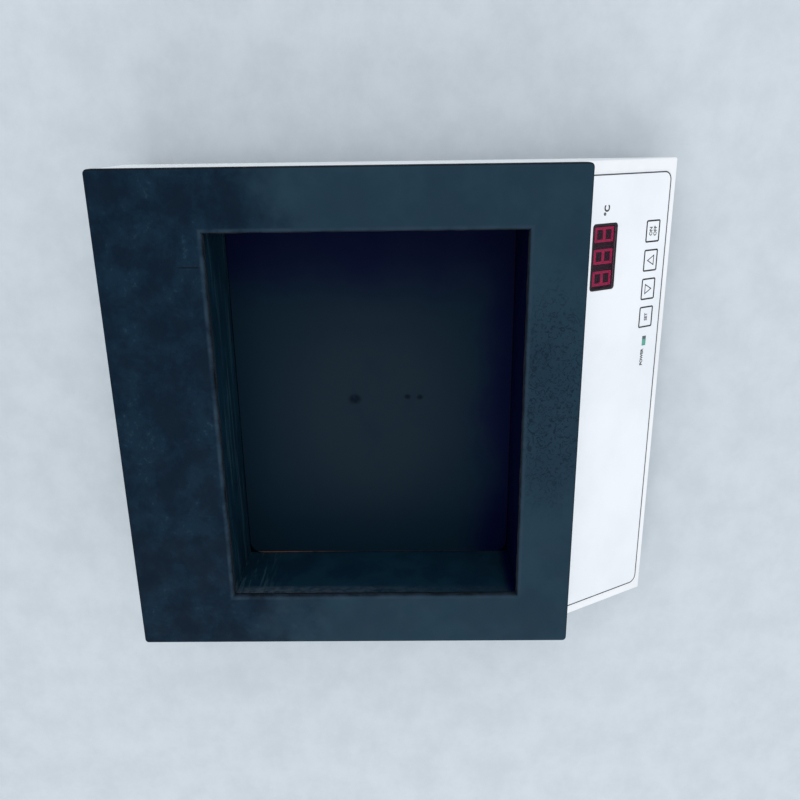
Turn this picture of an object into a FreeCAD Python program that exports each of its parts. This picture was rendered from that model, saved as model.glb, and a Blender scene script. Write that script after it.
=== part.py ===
import FreeCAD, Part
import math
import os
import Sketcher
from FreeCAD import Placement, Rotation, Vector
from types import SimpleNamespace

# Histology water bath: a shallow heated tank in a broad black frame, on a white sheet steel housing whose
# front slopes down as the control panel. It stands on four rubber feet with the water surface up.
# Millimetres. +Z is up, the control panel faces -Y and +X is the user's right. The origin lies on the table,
# under the middle of the whole outline.

DOC = FreeCAD.newDocument("HistologyWaterBath")
NODES = {}

# Driving dimensions
SIZES = {
    "border_side": 34.9,
    "border_front": 33.4,
    "border_back": 61.8,
    "frame_thick": 8.0,
    "frame_over": 0.4,
    "frame_top": 3.0,
    "flange_room": 1.5,
    "frame_corner": 2.5,
    "frame_edge": 1.9,
    "lip_round": 1.7,
    "thread_inset": 6.3,
    "thread_deep": 2.0,
    "bath_wide": 230.4,
    "bath_long": 181.1,
    "bath_depth": 56.2,
    "tank_wall": 2.5,
    "tank_floor": 2.5,
    "tank_flange": 8.0,
    "tank_rim": 2.0,
    "gasket_thick": 0.8,
    "gasket_recess": 0.5,
    "plate_thick": 1.5,
    "plate_gap": 0.6,
    "plate_corner": 8.0,
    "heater_thick": 1.5,
    "heater_margin": 14.0,
    "heater_corner": 5.0,
    "insulation_margin": 4.0,
    "slope_high": 39.7,
    "front_wall": 18.3,
    "panel_run": 63.9,
    "front_lip": 2.21,
    "sheet": 1.5,
    "housing_edge": 1.2,
    "top_flange": 20.0,
    "bottom_flange": 22.0,
    "front_flange": 7.0,
    "rear_flange": 9.0,
    "tray_high": 16.0,
    "tray_sheet": 1.2,
    "tray_inset": 3.0,
    "tray_corner": 5.0,
    "tray_bevel": 1.0,
    "foot_high": 12.0,
    "foot_radius": 10.0,
    "foot_taper": 1.5,
    "foot_inset": 12.0,
    "foot_recess": 7.0,
    "foot_recess_radius": 5.0,
    "screw_radius": 1.95,
    "screw_across": 7.0,
    "screw_head": 2.8,
    "screw_bite": 6.5,
    "screw_spare": 1.0,
    "hole_radius": 2.2,
    "thread_radius": 2.0,
    "nut_high": 3.2,
    "spacer_across": 7.0,
    "foil_thick": 0.7,
    "foil_right_in": 7.6,
    "foil_left_in": 6.1,
    "foil_front_in": 4.32,
    "foil_corner": 5.5,
    "foil_back_gap": 0.3,
    "window_wide": 39.6,
    "window_high": 19.3,
    "window_in": 55.6,
    "window_back": 18.6,
    "window_corner": 2.0,
    "digit_pitch": 12.7,
    "digit_wide": 12.6,
    "digit_high": 18.6,
    "digit_deep": 8.0,
    "digit_drop": 1.3,
    "bar_high": 14.2,
    "bar_wide": 8.0,
    "bar_thick": 1.5,
    "bar_deep": 0.6,
    "bar_gap": 0.35,
    "bar_slant": 2.0,
    "point_radius": 0.75,
    "keys_in": 43.2,
    "key_pitch": 18.0,
    "keys_up": 16.0,
    "dome_wide": 8.4,
    "dome_top": 4.2,
    "dome_high": 0.36,
    "dome_skin": 0.12,
    "dome_pocket": 0.42,
    "lamp_step": 15.1,
    "lamp_wide": 6.0,
    "lamp_high": 3.0,
    "cut_gap": 0.15,
    "board_thick": 1.6,
    "board_past_lamp": 5.2,
    "board_past_digits": 10.3,
    "board_top": 6.0,
    "board_front_in": 7.62,
    "post_inset": 4.0,
    "post_rise": 24.0,
    "post_wide": 5.0,
    "post_neck": 2.4,
    "post_barb": 3.8,
    "post_head": 1.2,
    "rear_rise": 19.25,
    "inlet_in": 49.3,
    "inlet_bezel_wide": 30.0,
    "inlet_bezel_high": 34.0,
    "bezel_thick": 2.5,
    "bezel_corner": 2.0,
    "inlet_wide": 27.0,
    "inlet_high": 31.0,
    "inlet_deep": 26.0,
    "socket_wide": 24.0,
    "socket_high": 16.4,
    "socket_deep": 17.5,
    "socket_rise": 5.6,
    "socket_chamfer": 4.4,
    "pin_wide": 2.0,
    "pin_high": 4.0,
    "pin_spread": 7.0,
    "pin_offset": 2.0,
    "pin_long": 14.0,
    "tab_long": 8.0,
    "tab_thick": 1.0,
    "tab_spread": 4.2,
    "drawer_wide": 22.4,
    "drawer_high": 8.0,
    "drawer_long": 22.5,
    "drawer_drop": 9.6,
    "drawer_gap": 0.2,
    "drawer_lip": 0.9,
    "drawer_face": 1.6,
    "fuse_radius": 2.6,
    "fuse_long": 20.0,
    "fuse_spread": 5.6,
    "fuse_gap": 0.05,
    "switch_in": 85.3,
    "switch_bezel_wide": 23.0,
    "switch_bezel_high": 33.0,
    "switch_wide": 19.6,
    "switch_deep": 22.0,
    "switch_wall": 1.0,
    "rocker_wide": 14.8,
    "rocker_radius": 13.4,
    "rocker_face": 4.9,
    "rocker_crease": 2.8,
    "rocker_back": 6.0,
    "rocker_swing": 20.0,
    "rocker_sink": 3.0,
    "rocker_gap": 0.25,
    "pivot_radius": 1.5,
    "pivot_long": 1.3,
    "pivot_gap": 0.05,
    "power_past_switch": 8.2,
    "power_past_relay": 8.0,
    "power_clear": 5.0,
    "power_rear_in": 10.3,
    "power_lift": 6.0,
    "core_wide": 42.0,
    "core_deep": 22.0,
    "core_high": 35.0,
    "core_window": 7.0,
    "core_leg": 7.0,
    "coil_deep": 34.0,
    "core_seat": 1.0,
    "coil_foot": 4.0,
    "core_beside": 5.0,
    "sink_beside": 2.0,
    "sink_wide": 30.0,
    "sink_high": 28.0,
    "sink_back": 3.0,
    "sink_fin": 1.6,
    "sink_fin_deep": 12.0,
    "sink_fins": 6.0,
    "triac_wide": 10.2,
    "triac_high": 15.0,
    "triac_thick": 4.5,
    "relay_beside": 3.0,
    "relay_wide": 19.0,
    "relay_deep": 15.5,
    "relay_high": 15.5,
    "capacitor_beside": 7.0,
    "capacitor_radius": 8.0,
    "capacitor_high": 25.0,
    "terminal_in": 6.0,
    "terminal_wide": 26.0,
    "terminal_deep": 12.0,
    "terminal_high": 14.0,
    "terminal_ports": 3.0,
    "terminal_port": 3.6,
    "chip_wide": 14.0,
    "chip_long": 36.0,
    "chip_thick": 3.6,
    "sensor_past_switch": 4.0,
    "sensor_radius": 2.5,
    "sensor_gap": 0.05,
    "sensor_long": 28.0,
    "sensor_block": 12.0,
    "cutout_radius": 8.0,
    "cutout_deep": 6.0,
    "cutout_cap_radius": 6.0,
    "cutout_cap": 5.0,
    "earth_back": 14.0,
    "earth_long": 12.0,
}


class Size:
    """A size that carries its value and the sheet expression it comes from."""

    def __init__(self, value, text):
        self.value = value
        self.text = text

    def __add__(self, other):
        return Size(self.value + value_of(other), "(%s + %s)" % (self.text, text_of(other)))

    def __radd__(self, other):
        return Size(value_of(other) + self.value, "(%s + %s)" % (text_of(other), self.text))

    def __sub__(self, other):
        return Size(self.value - value_of(other), "(%s - %s)" % (self.text, text_of(other)))

    def __rsub__(self, other):
        return Size(value_of(other) - self.value, "(%s - %s)" % (text_of(other), self.text))

    def __mul__(self, other):
        return Size(self.value * value_of(other), "(%s * %s)" % (self.text, text_of(other)))

    def __rmul__(self, other):
        return self * other

    def __truediv__(self, other):
        return Size(self.value / value_of(other), "(%s / %s)" % (self.text, text_of(other)))

    def __neg__(self):
        return Size(-self.value, "(-%s)" % self.text)


def value_of(size):
    """The number behind a size or a plain number."""
    return size.value if isinstance(size, Size) else float(size)


def text_of(size):
    """The expression behind a size or a plain number."""
    return size.text if isinstance(size, Size) else "%.6f" % size


def sine(angle):
    return Size(math.sin(math.radians(value_of(angle))), "sin(%s)" % text_of(angle))


def cosine(angle):
    return Size(math.cos(math.radians(value_of(angle))), "cos(%s)" % text_of(angle))


def tangent(angle):
    return Size(math.tan(math.radians(value_of(angle))), "tan(%s)" % text_of(angle))


def arctangent(size):
    return Size(math.degrees(math.atan(value_of(size))), "atan(%s)" % text_of(size))


def root(size):
    return Size(math.sqrt(value_of(size)), "sqrt(%s)" % text_of(size))


def make_sheet():
    """Puts every driving dimension in a cell with an alias of the same name."""
    sheet = DOC.addObject("Spreadsheet::Sheet", "Sizes")
    for row, (name, value) in enumerate(SIZES.items(), start=1):
        sheet.set("A%d" % row, name)
        sheet.set("B%d" % row, str(value))
        sheet.setAlias("B%d" % row, name)
    DOC.recompute()


make_sheet()
S = SimpleNamespace(**{name: Size(value, "Sizes." + name) for name, value in SIZES.items()})

# Levels and places that several pieces share
TRAY_BASE = S.foot_high
TRAY_TOP = TRAY_BASE + S.tray_sheet
HOUSING_BASE = S.foot_high + S.tray_high
HOUSING_HIGH = S.slope_high + S.front_wall
SLOPE_TOP = HOUSING_BASE + S.slope_high
FRAME_BASE = HOUSING_BASE + HOUSING_HIGH
TOP = FRAME_BASE + S.frame_thick
BATH_FLOOR = TOP - S.bath_depth
TANK_BASE = BATH_FLOOR - S.plate_thick - S.tank_floor
FRAME_WIDE = S.bath_wide / 2 + S.border_side
FRAME_DEEP = (S.border_front + S.bath_long + S.border_back) / 2
HALF_WIDE = FRAME_WIDE - S.frame_over
HALF_DEEP = FRAME_DEEP - S.frame_over
BATH_CENTRE = FRAME_DEEP - S.border_back - S.bath_long / 2
FRONT = -HALF_DEEP - S.panel_run
TANK_BACK = BATH_CENTRE + S.bath_long / 2 + S.tank_wall
REAR_CENTRE = HOUSING_BASE + S.rear_rise
PANEL_RISE = S.slope_high - S.front_lip
PANEL_TILT = arctangent(PANEL_RISE / S.panel_run)
SLOPE = root(S.panel_run * S.panel_run + PANEL_RISE * PANEL_RISE)
KEY_COUNT = 4
HEXAGON_SIDES = 6
KEY_BACK = SLOPE - S.keys_up
FIRST_KEY = HALF_WIDE - S.keys_in - S.key_pitch * (KEY_COUNT - 1)
LAMP_X = FIRST_KEY - S.lamp_step
WINDOW_X = HALF_WIDE - S.window_in
DIGIT_BACK = S.window_back + S.digit_drop
INLET_X = S.inlet_in - HALF_WIDE
SWITCH_X = S.switch_in - HALF_WIDE
POWER_LEFT = SWITCH_X + S.switch_wide / 2 + S.power_past_switch
TERMINAL_LEFT = POWER_LEFT + S.terminal_in
CORE_LEFT = TERMINAL_LEFT + S.terminal_wide + S.core_beside
TRANSFORMER_X = CORE_LEFT + S.core_wide / 2
CAPACITOR_X = CORE_LEFT + S.core_wide + S.capacitor_beside + S.capacitor_radius
SINK_LEFT = CAPACITOR_X + S.capacitor_radius + S.sink_beside
RELAY_LEFT = SINK_LEFT + S.sink_wide + S.relay_beside
PIVOT_OUT = S.bezel_thick - S.rocker_sink
ROCKER_CORNER = root(S.rocker_radius * S.rocker_radius - S.rocker_face * S.rocker_face)
HALF_SWING = S.rocker_swing / 2
ROCKER_REACH = S.rocker_face * cosine(HALF_SWING) + ROCKER_CORNER * sine(HALF_SWING)
REAR_REACH = PIVOT_OUT + ROCKER_REACH
CENTRE_Y = (S.panel_run - REAR_REACH) / 2
UP = Vector(0, 0, 1)


def bind(thing, name, size):
    """Ties one property to the sheet."""
    thing.setExpression(name, text_of(size))


def place(thing, x=0, y=0, z=0, axis=None, angle=0):
    """Sets a piece's place from the middle of the top frame, on the table."""
    if axis is not None:
        thing.Placement = Placement(Vector(), Rotation(axis, value_of(angle)))
        bind(thing, "Placement.Rotation.Angle", angle)
    bind(thing, "Placement.Base.x", x)
    bind(thing, "Placement.Base.y", CENTRE_Y + y)
    bind(thing, "Placement.Base.z", z)
    return thing


def on_panel(thing):
    """Sets a piece on the slope: local Y runs up it and local Z stands out of it."""
    return place(thing, 0, -HALF_DEEP, SLOPE_TOP, Vector(1, 0, 0), PANEL_TILT)


def node(thing, name):
    """Names a finished piece and lists it for export."""
    thing.Label = name
    NODES[name] = thing
    return thing


def body(name):
    return DOC.addObject("PartDesign::Body", name + "_body")


def sketch(part, role, lift=0):
    """A sketch on one of the body's own planes, moved along the plane's normal."""
    drawing = part.newObject("Sketcher::SketchObject", "Sketch")
    features = part.Origin.OriginFeatures
    drawing.AttachmentSupport = [(next(f for f in features if f.Role == role), "")]
    drawing.MapMode = "FlatFace"
    bind(drawing, "AttachmentOffset.Base.z", lift)
    return drawing


def slope_sketch(part, high):
    """A sketch on the panel's outer face, in a body that is drawn about the frame's middle."""
    drawing = sketch(part, "XY_Plane", high)
    drawing.AttachmentOffset = Placement(Vector(), Rotation(Vector(1, 0, 0), PANEL_TILT.value))
    bind(drawing, "AttachmentOffset.Rotation.Angle", PANEL_TILT)
    bind(drawing, "AttachmentOffset.Base.y", -HALF_DEEP)
    bind(drawing, "AttachmentOffset.Base.z", high)
    return drawing


def pin_point(drawing, edge, end, x, y):
    """Holds one end of an edge at a place that the sheet gives."""
    for kind, size in (("DistanceX", x), ("DistanceY", y)):
        held = Sketcher.Constraint(kind, -1, 1, edge, end, value_of(size))
        number = drawing.addConstraint(held)
        bind(drawing, "Constraints[%d]" % number, size)


def outline(drawing, points):
    """Draws a closed run of straight lines through the given points."""
    first = drawing.GeometryCount
    count = len(points)
    spots = [Vector(value_of(x), value_of(y), 0) for x, y in points]
    for i in range(count):
        drawing.addGeometry(Part.LineSegment(spots[i], spots[(i + 1) % count]))
    for i in range(count):
        following = first + (i + 1) % count
        drawing.addConstraint(Sketcher.Constraint("Coincident", first + i, 2, following, 1))
        pin_point(drawing, first + i, 1, *points[i])
    return drawing


def rectangle(drawing, left, low, right, high):
    return outline(drawing, [(left, low), (right, low), (right, high), (left, high)])


def rounded(drawing, left, low, right, high, radius):
    """Draws a rectangle with four round corners."""
    corners = [(right, high, 1, 1), (left, high, -1, 1), (left, low, -1, -1), (right, low, 1, -1)]
    arcs = []
    for turn, (x, y, side, rise) in enumerate(corners):
        cx = x - side * radius
        cy = y - rise * radius
        middle = Vector(value_of(cx), value_of(cy), 0)
        start = math.radians(90 * turn)
        circle = Part.Circle(middle, UP, value_of(radius))
        arc = drawing.addGeometry(Part.ArcOfCircle(circle, start, start + math.pi / 2))
        pin_point(drawing, arc, 3, cx, cy)
        ends = [(x, cy), (cx, y)] if turn % 2 == 0 else [(cx, y), (x, cy)]
        pin_point(drawing, arc, 1, *ends[0])
        arcs.append((arc, ends))
    for turn, (arc, ends) in enumerate(arcs):
        following, next_ends = arcs[(turn + 1) % 4]
        a = Vector(*[value_of(c) for c in ends[1]], 0)
        b = Vector(*[value_of(c) for c in next_ends[0]], 0)
        line = drawing.addGeometry(Part.LineSegment(a, b))
        drawing.addConstraint(Sketcher.Constraint("Tangent", arc, 2, line, 1))
        drawing.addConstraint(Sketcher.Constraint("Coincident", line, 2, following, 1))
    return drawing


def circle(drawing, x, y, radius):
    """Draws a circle."""
    middle = Vector(value_of(x), value_of(y), 0)
    edge = drawing.addGeometry(Part.Circle(middle, UP, value_of(radius)))
    pin_point(drawing, edge, 3, x, y)
    number = drawing.addConstraint(Sketcher.Constraint("Radius", edge, value_of(radius)))
    bind(drawing, "Constraints[%d]" % number, radius)
    return drawing


def pad(part, drawing, length, both=False, back=False):
    """Raises a sketch into a solid."""
    feature = part.newObject("PartDesign::Pad", "Pad")
    feature.Profile = drawing
    feature.SideType = "Symmetric" if both else "One side"
    feature.Reversed = back
    bind(feature, "Length", length)
    DOC.recompute()
    return feature


def pocket(part, drawing, length, both=False, up=False):
    """Cuts a sketch out of a solid, and makes sure that the cut took something away."""
    before = part.Shape.Volume
    feature = part.newObject("PartDesign::Pocket", "Pocket")
    feature.Profile = drawing
    feature.SideType = "Symmetric" if both else "One side"
    feature.Reversed = up
    bind(feature, "Length", length)
    DOC.recompute()
    if part.Shape.Volume > before - 0.001:
        raise ValueError("a pocket of %s cuts nothing" % part.Name)
    return feature


def round_edges(part, radius, wanted):
    """Rounds the edges of the body's last feature that the test picks."""
    last = part.Tip
    edges = enumerate(last.Shape.Edges, start=1)
    names = ["Edge%d" % number for number, edge in edges if wanted(edge.BoundBox)]
    feature = part.newObject("PartDesign::Fillet", "Fillet")
    feature.Base = (last, names)
    bind(feature, "Radius", radius)
    DOC.recompute()
    return feature


def bevel_edges(part, size, wanted):
    """Bevels the edges of the body's last feature that the test picks."""
    last = part.Tip
    edges = enumerate(last.Shape.Edges, start=1)
    feature = part.newObject("PartDesign::Chamfer", "Chamfer")
    feature.Base = (last, ["Edge%d" % number for number, edge in edges if wanted(edge.BoundBox)])
    bind(feature, "Size", size)
    DOC.recompute()
    return feature


def near(a, b, slack=0.01):
    return abs(value_of(a) - value_of(b)) < slack


def box(x, y, z, wide, deep, high, name="Box"):
    """A block whose corner lies at the given place, measured from the frame's middle on the table."""
    thing = DOC.addObject("Part::Box", name)
    bind(thing, "Length", wide)
    bind(thing, "Width", deep)
    bind(thing, "Height", high)
    return place(thing, x, y, z)


def rod(x, y, z, radius, high, axis=None, angle=0, name="Cylinder"):
    """A cylinder from the given place, upright unless an axis and angle turn it."""
    thing = DOC.addObject("Part::Cylinder", name)
    bind(thing, "Radius", radius)
    bind(thing, "Height", high)
    return place(thing, x, y, z, axis, angle)


def cut(base, tools):
    """Takes the tools out of the base one after another."""
    for tool in tools:
        feature = DOC.addObject("Part::Cut", "Cut")
        feature.Base = base
        feature.Tool = tool
        base = feature
    return base


def fuse(pieces):
    feature = DOC.addObject("Part::MultiFuse", "Fuse")
    feature.Shapes = pieces
    return feature


def group(pieces):
    """Keeps like pieces together as separate solids of one node."""
    feature = DOC.addObject("Part::Compound", "Group")
    feature.Links = pieces
    return feature


def frame_corners(inset):
    """The four places at one inset from the frame's sides."""
    for side in (-1, 1):
        for end in (-1, 1):
            yield side * (HALF_WIDE - inset), end * (HALF_DEEP - inset)


def foot_places():
    """The place of each foot."""
    across = HALF_WIDE - S.tray_inset - S.foot_inset
    front = FRONT + S.tray_inset + S.foot_inset
    rear = HALF_DEEP - S.tray_inset - S.foot_inset
    for y in (front, rear):
        for sign in (-1, 1):
            yield sign * across, y


def bath_rectangle(drawing, grow):
    """A rectangle round the bath's opening, larger by the same amount on each side."""
    half_x = S.bath_wide / 2 + grow
    half_y = S.bath_long / 2 + grow
    return rectangle(drawing, -half_x, BATH_CENTRE - half_y, half_x, BATH_CENTRE + half_y)


def make_top_frame():
    """The frame: a rounded plate with the square opening, and a ring under it that clears the tank's flange."""
    part = body("top_frame")
    plan = sketch(part, "XY_Plane")
    rounded(plan, -FRAME_WIDE, -FRAME_DEEP, FRAME_WIDE, FRAME_DEEP, S.frame_corner)
    pad(part, plan, S.frame_top)
    threads = sketch(part, "XY_Plane")
    for x, y in frame_corners(S.thread_inset):
        circle(threads, x, y, S.thread_radius)
    pocket(part, threads, S.thread_deep, up=True)
    opening = bath_rectangle(sketch(part, "XY_Plane", S.frame_top), 0)
    pocket(part, opening, S.frame_top)

    def outer_top(edge):
        at_top = near(edge.ZMin, S.frame_top) and near(edge.ZMax, S.frame_top)
        reach = max(abs(edge.XMin), abs(edge.XMax)) - FRAME_WIDE.value
        reach_y = max(abs(edge.YMin), abs(edge.YMax)) - FRAME_DEEP.value
        return at_top and max(reach, reach_y) > -0.01

    def opening_top(edge):
        return near(edge.ZMin, S.frame_top) and near(edge.ZMax, S.frame_top) and not outer_top(edge)

    round_edges(part, S.lip_round, opening_top)
    round_edges(part, S.frame_edge, outer_top)
    node(place(part, 0, 0, TOP - S.frame_top), "top_frame")

    ring = body("frame_ring")
    plan = sketch(ring, "XY_Plane")
    rounded(plan, -FRAME_WIDE, -FRAME_DEEP, FRAME_WIDE, FRAME_DEEP, S.frame_corner)
    high = S.frame_thick - S.frame_top
    pad(ring, plan, high)
    clear = sketch(ring, "XY_Plane", high)
    bath_rectangle(clear, S.tank_wall + S.tank_flange + S.flange_room)
    for x, y in frame_corners(S.thread_inset):
        circle(clear, x, y, S.hole_radius)
    pocket(ring, clear, high)
    node(place(ring, 0, 0, FRAME_BASE), "frame_ring")


def make_tank():
    """The straight-walled tank, its seal under the frame, and the loose floor plate in it."""
    part = body("bath_tank")
    high = S.bath_depth + S.plate_thick + S.tank_floor - S.frame_top - S.gasket_thick
    pad(part, bath_rectangle(sketch(part, "XY_Plane"), S.tank_wall), high)
    rim = bath_rectangle(sketch(part, "XY_Plane", high), S.tank_wall + S.tank_flange)
    pad(part, rim, S.tank_rim, back=True)
    pocket(part, bath_rectangle(sketch(part, "XY_Plane", high), 0), high - S.tank_floor)
    node(place(part, 0, 0, TANK_BASE), "bath_tank")

    seal = body("tank_gasket")
    ring = sketch(seal, "XY_Plane")
    bath_rectangle(ring, S.tank_wall + S.tank_flange)
    bath_rectangle(ring, S.gasket_recess)
    pad(seal, ring, S.gasket_thick)
    node(place(seal, 0, 0, TOP - S.frame_top - S.gasket_thick), "tank_gasket")

    plate = body("floor_plate")
    half_x = S.bath_wide / 2 - S.plate_gap
    half_y = S.bath_long / 2 - S.plate_gap
    plan = sketch(plate, "XY_Plane")
    rounded(plan, -half_x, BATH_CENTRE - half_y, half_x, BATH_CENTRE + half_y, S.plate_corner)
    pad(plate, plan, S.plate_thick)
    node(place(plate, 0, 0, BATH_FLOOR - S.plate_thick), "floor_plate")


def make_heating():
    """The heater foil under the tank, the insulation below it, and the sensors on the tank's rear wall."""
    heater = body("heater_mat")
    half_x = S.bath_wide / 2 - S.heater_margin
    half_y = S.bath_long / 2 - S.heater_margin
    plan = sketch(heater, "XY_Plane")
    rounded(plan, -half_x, BATH_CENTRE - half_y, half_x, BATH_CENTRE + half_y, S.heater_corner)
    pad(heater, plan, S.heater_thick)
    node(place(heater, 0, 0, TANK_BASE - S.heater_thick), "heater_mat")

    half_x = S.bath_wide / 2 - S.insulation_margin
    half_y = S.bath_long / 2 - S.insulation_margin
    high = TANK_BASE - S.heater_thick - TRAY_TOP
    pad_block = box(-half_x, BATH_CENTRE - half_y, TRAY_TOP, half_x * 2, half_y * 2, high)
    node(pad_block, "insulation_pad")

    low = TANK_BASE + S.tank_floor
    block_x = SWITCH_X + S.sensor_past_switch - S.sensor_long / 2
    block = box(block_x, TANK_BACK, low, S.sensor_long, S.sensor_block, S.sensor_block)
    middle = low + S.sensor_block / 2
    across = Vector(0, 1, 0)
    bore_y = TANK_BACK + S.sensor_block / 2
    bore = rod(block_x, bore_y, middle, S.sensor_radius + S.sensor_gap, S.sensor_long, across, 90)
    node(cut(block, [bore]), "sensor_block")
    probe = rod(block_x, bore_y, middle, S.sensor_radius, S.sensor_long + S.sensor_radius * 2, across, 90)
    node(probe, "temperature_sensor")

    back = Vector(-1, 0, 0)
    spot_z = low + S.cutout_radius
    cap = rod(CAPACITOR_X, TANK_BACK, spot_z, S.cutout_radius, S.cutout_deep, back, 90)
    tip_y = TANK_BACK + S.cutout_deep
    tip = rod(CAPACITOR_X, tip_y, spot_z, S.cutout_cap_radius, S.cutout_cap, back, 90)
    node(fuse([cap, tip]), "overheat_cutout")


def make_housing():
    """The white folded shell: upright walls, a sloping front below a low wall, and flanges above and below."""
    part = body("housing")
    side = sketch(part, "YZ_Plane")
    outline(side, [(FRONT, 0), (HALF_DEEP, 0), (HALF_DEEP, HOUSING_HIGH), (-HALF_DEEP, HOUSING_HIGH),
                   (-HALF_DEEP, S.slope_high), (FRONT, S.front_lip)])
    pad(part, side, HALF_WIDE * 2, both=True)

    def folded(edge):
        along_side = near(abs(edge.XMin), HALF_WIDE) and near(abs(edge.XMax), HALF_WIDE)
        at_front = edge.YMax < -HALF_DEEP.value + S.sheet.value
        at_back = near(edge.YMin, HALF_DEEP)
        return along_side and edge.ZLength > S.front_lip.value and (at_front or at_back)

    round_edges(part, S.housing_edge, folded)
    drop = S.sheet / cosine(PANEL_TILT)
    toe = -HALF_DEEP - (S.slope_high - S.sheet - drop) / tangent(PANEL_TILT)
    knee = S.slope_high - drop + S.sheet * tangent(PANEL_TILT)
    inner_back = HALF_DEEP - S.sheet
    inner_top = HOUSING_HIGH - S.sheet
    hollow = sketch(part, "YZ_Plane")
    outline(hollow, [(toe, S.sheet), (inner_back, S.sheet), (inner_back, inner_top),
                     (S.sheet - HALF_DEEP, inner_top), (S.sheet - HALF_DEEP, knee)])
    pocket(part, hollow, HALF_WIDE * 2 - S.sheet * 2, both=True)

    top = sketch(part, "XY_Plane", HOUSING_HIGH)
    rectangle(top, S.top_flange - HALF_WIDE, S.top_flange - HALF_DEEP,
              HALF_WIDE - S.top_flange, HALF_DEEP - S.top_flange)
    pocket(part, top, S.sheet)
    under = sketch(part, "XY_Plane")
    rectangle(under, S.bottom_flange - HALF_WIDE, FRONT + S.front_flange,
              HALF_WIDE - S.bottom_flange, HALF_DEEP - S.rear_flange)
    pocket(part, under, S.sheet, up=True)
    frame_holes = sketch(part, "XY_Plane", HOUSING_HIGH)
    for x, y in frame_corners(S.thread_inset):
        circle(frame_holes, x, y, S.hole_radius)
    pocket(part, frame_holes, S.sheet)
    foot_holes = sketch(part, "XY_Plane")
    for x, y in foot_places():
        circle(foot_holes, x, y, S.hole_radius)
    pocket(part, foot_holes, S.sheet, up=True)

    window = slope_sketch(part, S.slope_high)
    half_x = S.window_wide / 2 + S.cut_gap
    half_y = S.window_high / 2 + S.cut_gap
    rounded(window, WINDOW_X - half_x, -S.window_back - half_y,
            WINDOW_X + half_x, half_y - S.window_back, S.window_corner + S.cut_gap)
    half_x = S.lamp_wide / 2 + S.cut_gap
    half_y = S.lamp_high / 2 + S.cut_gap
    rectangle(window, LAMP_X - half_x, -KEY_BACK - half_y, LAMP_X + half_x, half_y - KEY_BACK)
    pocket(part, window, S.sheet * 2)

    rear = sketch(part, "XZ_Plane", -HALF_DEEP)
    openings = ((INLET_X, S.inlet_wide, S.inlet_high), (SWITCH_X, S.switch_wide, switch_high()))
    for x, wide, high in openings:
        half_x = wide / 2 + S.cut_gap
        half_z = high / 2 + S.cut_gap
        rectangle(rear, x - half_x, S.rear_rise - half_z, x + half_x, S.rear_rise + half_z)
    pocket(part, rear, S.sheet * 2, up=True)
    node(place(part, 0, 0, HOUSING_BASE), "housing")


def switch_high():
    """The height of the switch's body, which has to clear the rocker's round ends."""
    return (S.rocker_radius + S.rocker_gap + S.switch_wall) * 2


def make_base_tray():
    """The pan below the housing that carries the feet, the insulation and the power board."""
    part = body("base_tray")
    half_x = HALF_WIDE - S.tray_inset
    front = FRONT + S.tray_inset
    rear = HALF_DEEP - S.tray_inset
    plan = sketch(part, "XY_Plane")
    rounded(plan, -half_x, front, half_x, rear, S.tray_corner)
    pad(part, plan, S.tray_high)
    bevel_edges(part, S.tray_bevel, lambda edge: near(edge.ZMax, 0))
    inside = sketch(part, "XY_Plane", S.tray_high)
    wall = S.tray_sheet
    rounded(inside, wall - half_x, front + wall, half_x - wall, rear - wall, S.tray_corner - wall)
    pocket(part, inside, S.tray_high - wall)
    holes = sketch(part, "XY_Plane")
    for x, y in foot_places():
        circle(holes, x, y, S.hole_radius)
    pocket(part, holes, wall, up=True)
    node(place(part, 0, 0, TRAY_BASE), "base_tray")


def make_feet():
    """Four rubber feet, each held by a long screw through a spacer to a nut on the housing's flange."""
    feet = []
    screws = []
    spacers = []
    nuts = []
    nut_seat = HOUSING_BASE + S.sheet
    for x, y in foot_places():
        cone = DOC.addObject("Part::Cone", "Cone")
        bind(cone, "Radius1", S.foot_radius - S.foot_taper)
        bind(cone, "Radius2", S.foot_radius)
        bind(cone, "Height", S.foot_high)
        place(cone, x, y, 0)
        recess = rod(x, y, 0, S.foot_recess_radius, S.foot_recess)
        hole = rod(x, y, 0, S.hole_radius, S.foot_high)
        feet.append(cut(cone, [recess, hole]))
        reach = nut_seat + S.nut_high + S.screw_spare - S.foot_recess
        screws.append(hex_screw(x, y, S.foot_recess, reach))
        gap_high = HOUSING_BASE - TRAY_TOP
        spacers.append(hex_sleeve(x, y, TRAY_TOP, S.spacer_across, gap_high, S.hole_radius))
        nuts.append(hex_sleeve(x, y, nut_seat, S.screw_across, S.nut_high, S.thread_radius))
    node(group(feet), "feet")
    node(group(screws), "foot_screws")
    node(group(spacers), "base_spacers")
    node(group(nuts), "flange_nuts")


def hexagon(x, y, z, across, high):
    """An upright hexagonal bar."""
    prism = DOC.addObject("Part::Prism", "Prism")
    prism.Polygon = HEXAGON_SIDES
    bind(prism, "Circumradius", across / (2 * cosine(180 / HEXAGON_SIDES)))
    bind(prism, "Height", high)
    return place(prism, x, y, z)


def hex_sleeve(x, y, z, across, high, bore):
    """A hexagonal nut or spacer with a round bore."""
    return cut(hexagon(x, y, z, across, high), [rod(x, y, z, bore, high)])


def hex_screw(x, y, seat, long):
    """A hexagon head screw that points up, with its head below the seat."""
    head = hexagon(x, y, seat - S.screw_head, S.screw_across, S.screw_head)
    return fuse([head, rod(x, y, seat, S.screw_radius, long)])


def make_frame_screws():
    """The screws that hold the frame down, from below the housing's top flange."""
    seat = FRAME_BASE - S.sheet
    long = S.screw_bite + S.sheet
    screws = [hex_screw(x, y, seat, long) for x, y in frame_corners(S.thread_inset)]
    node(group(screws), "frame_screws")


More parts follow.
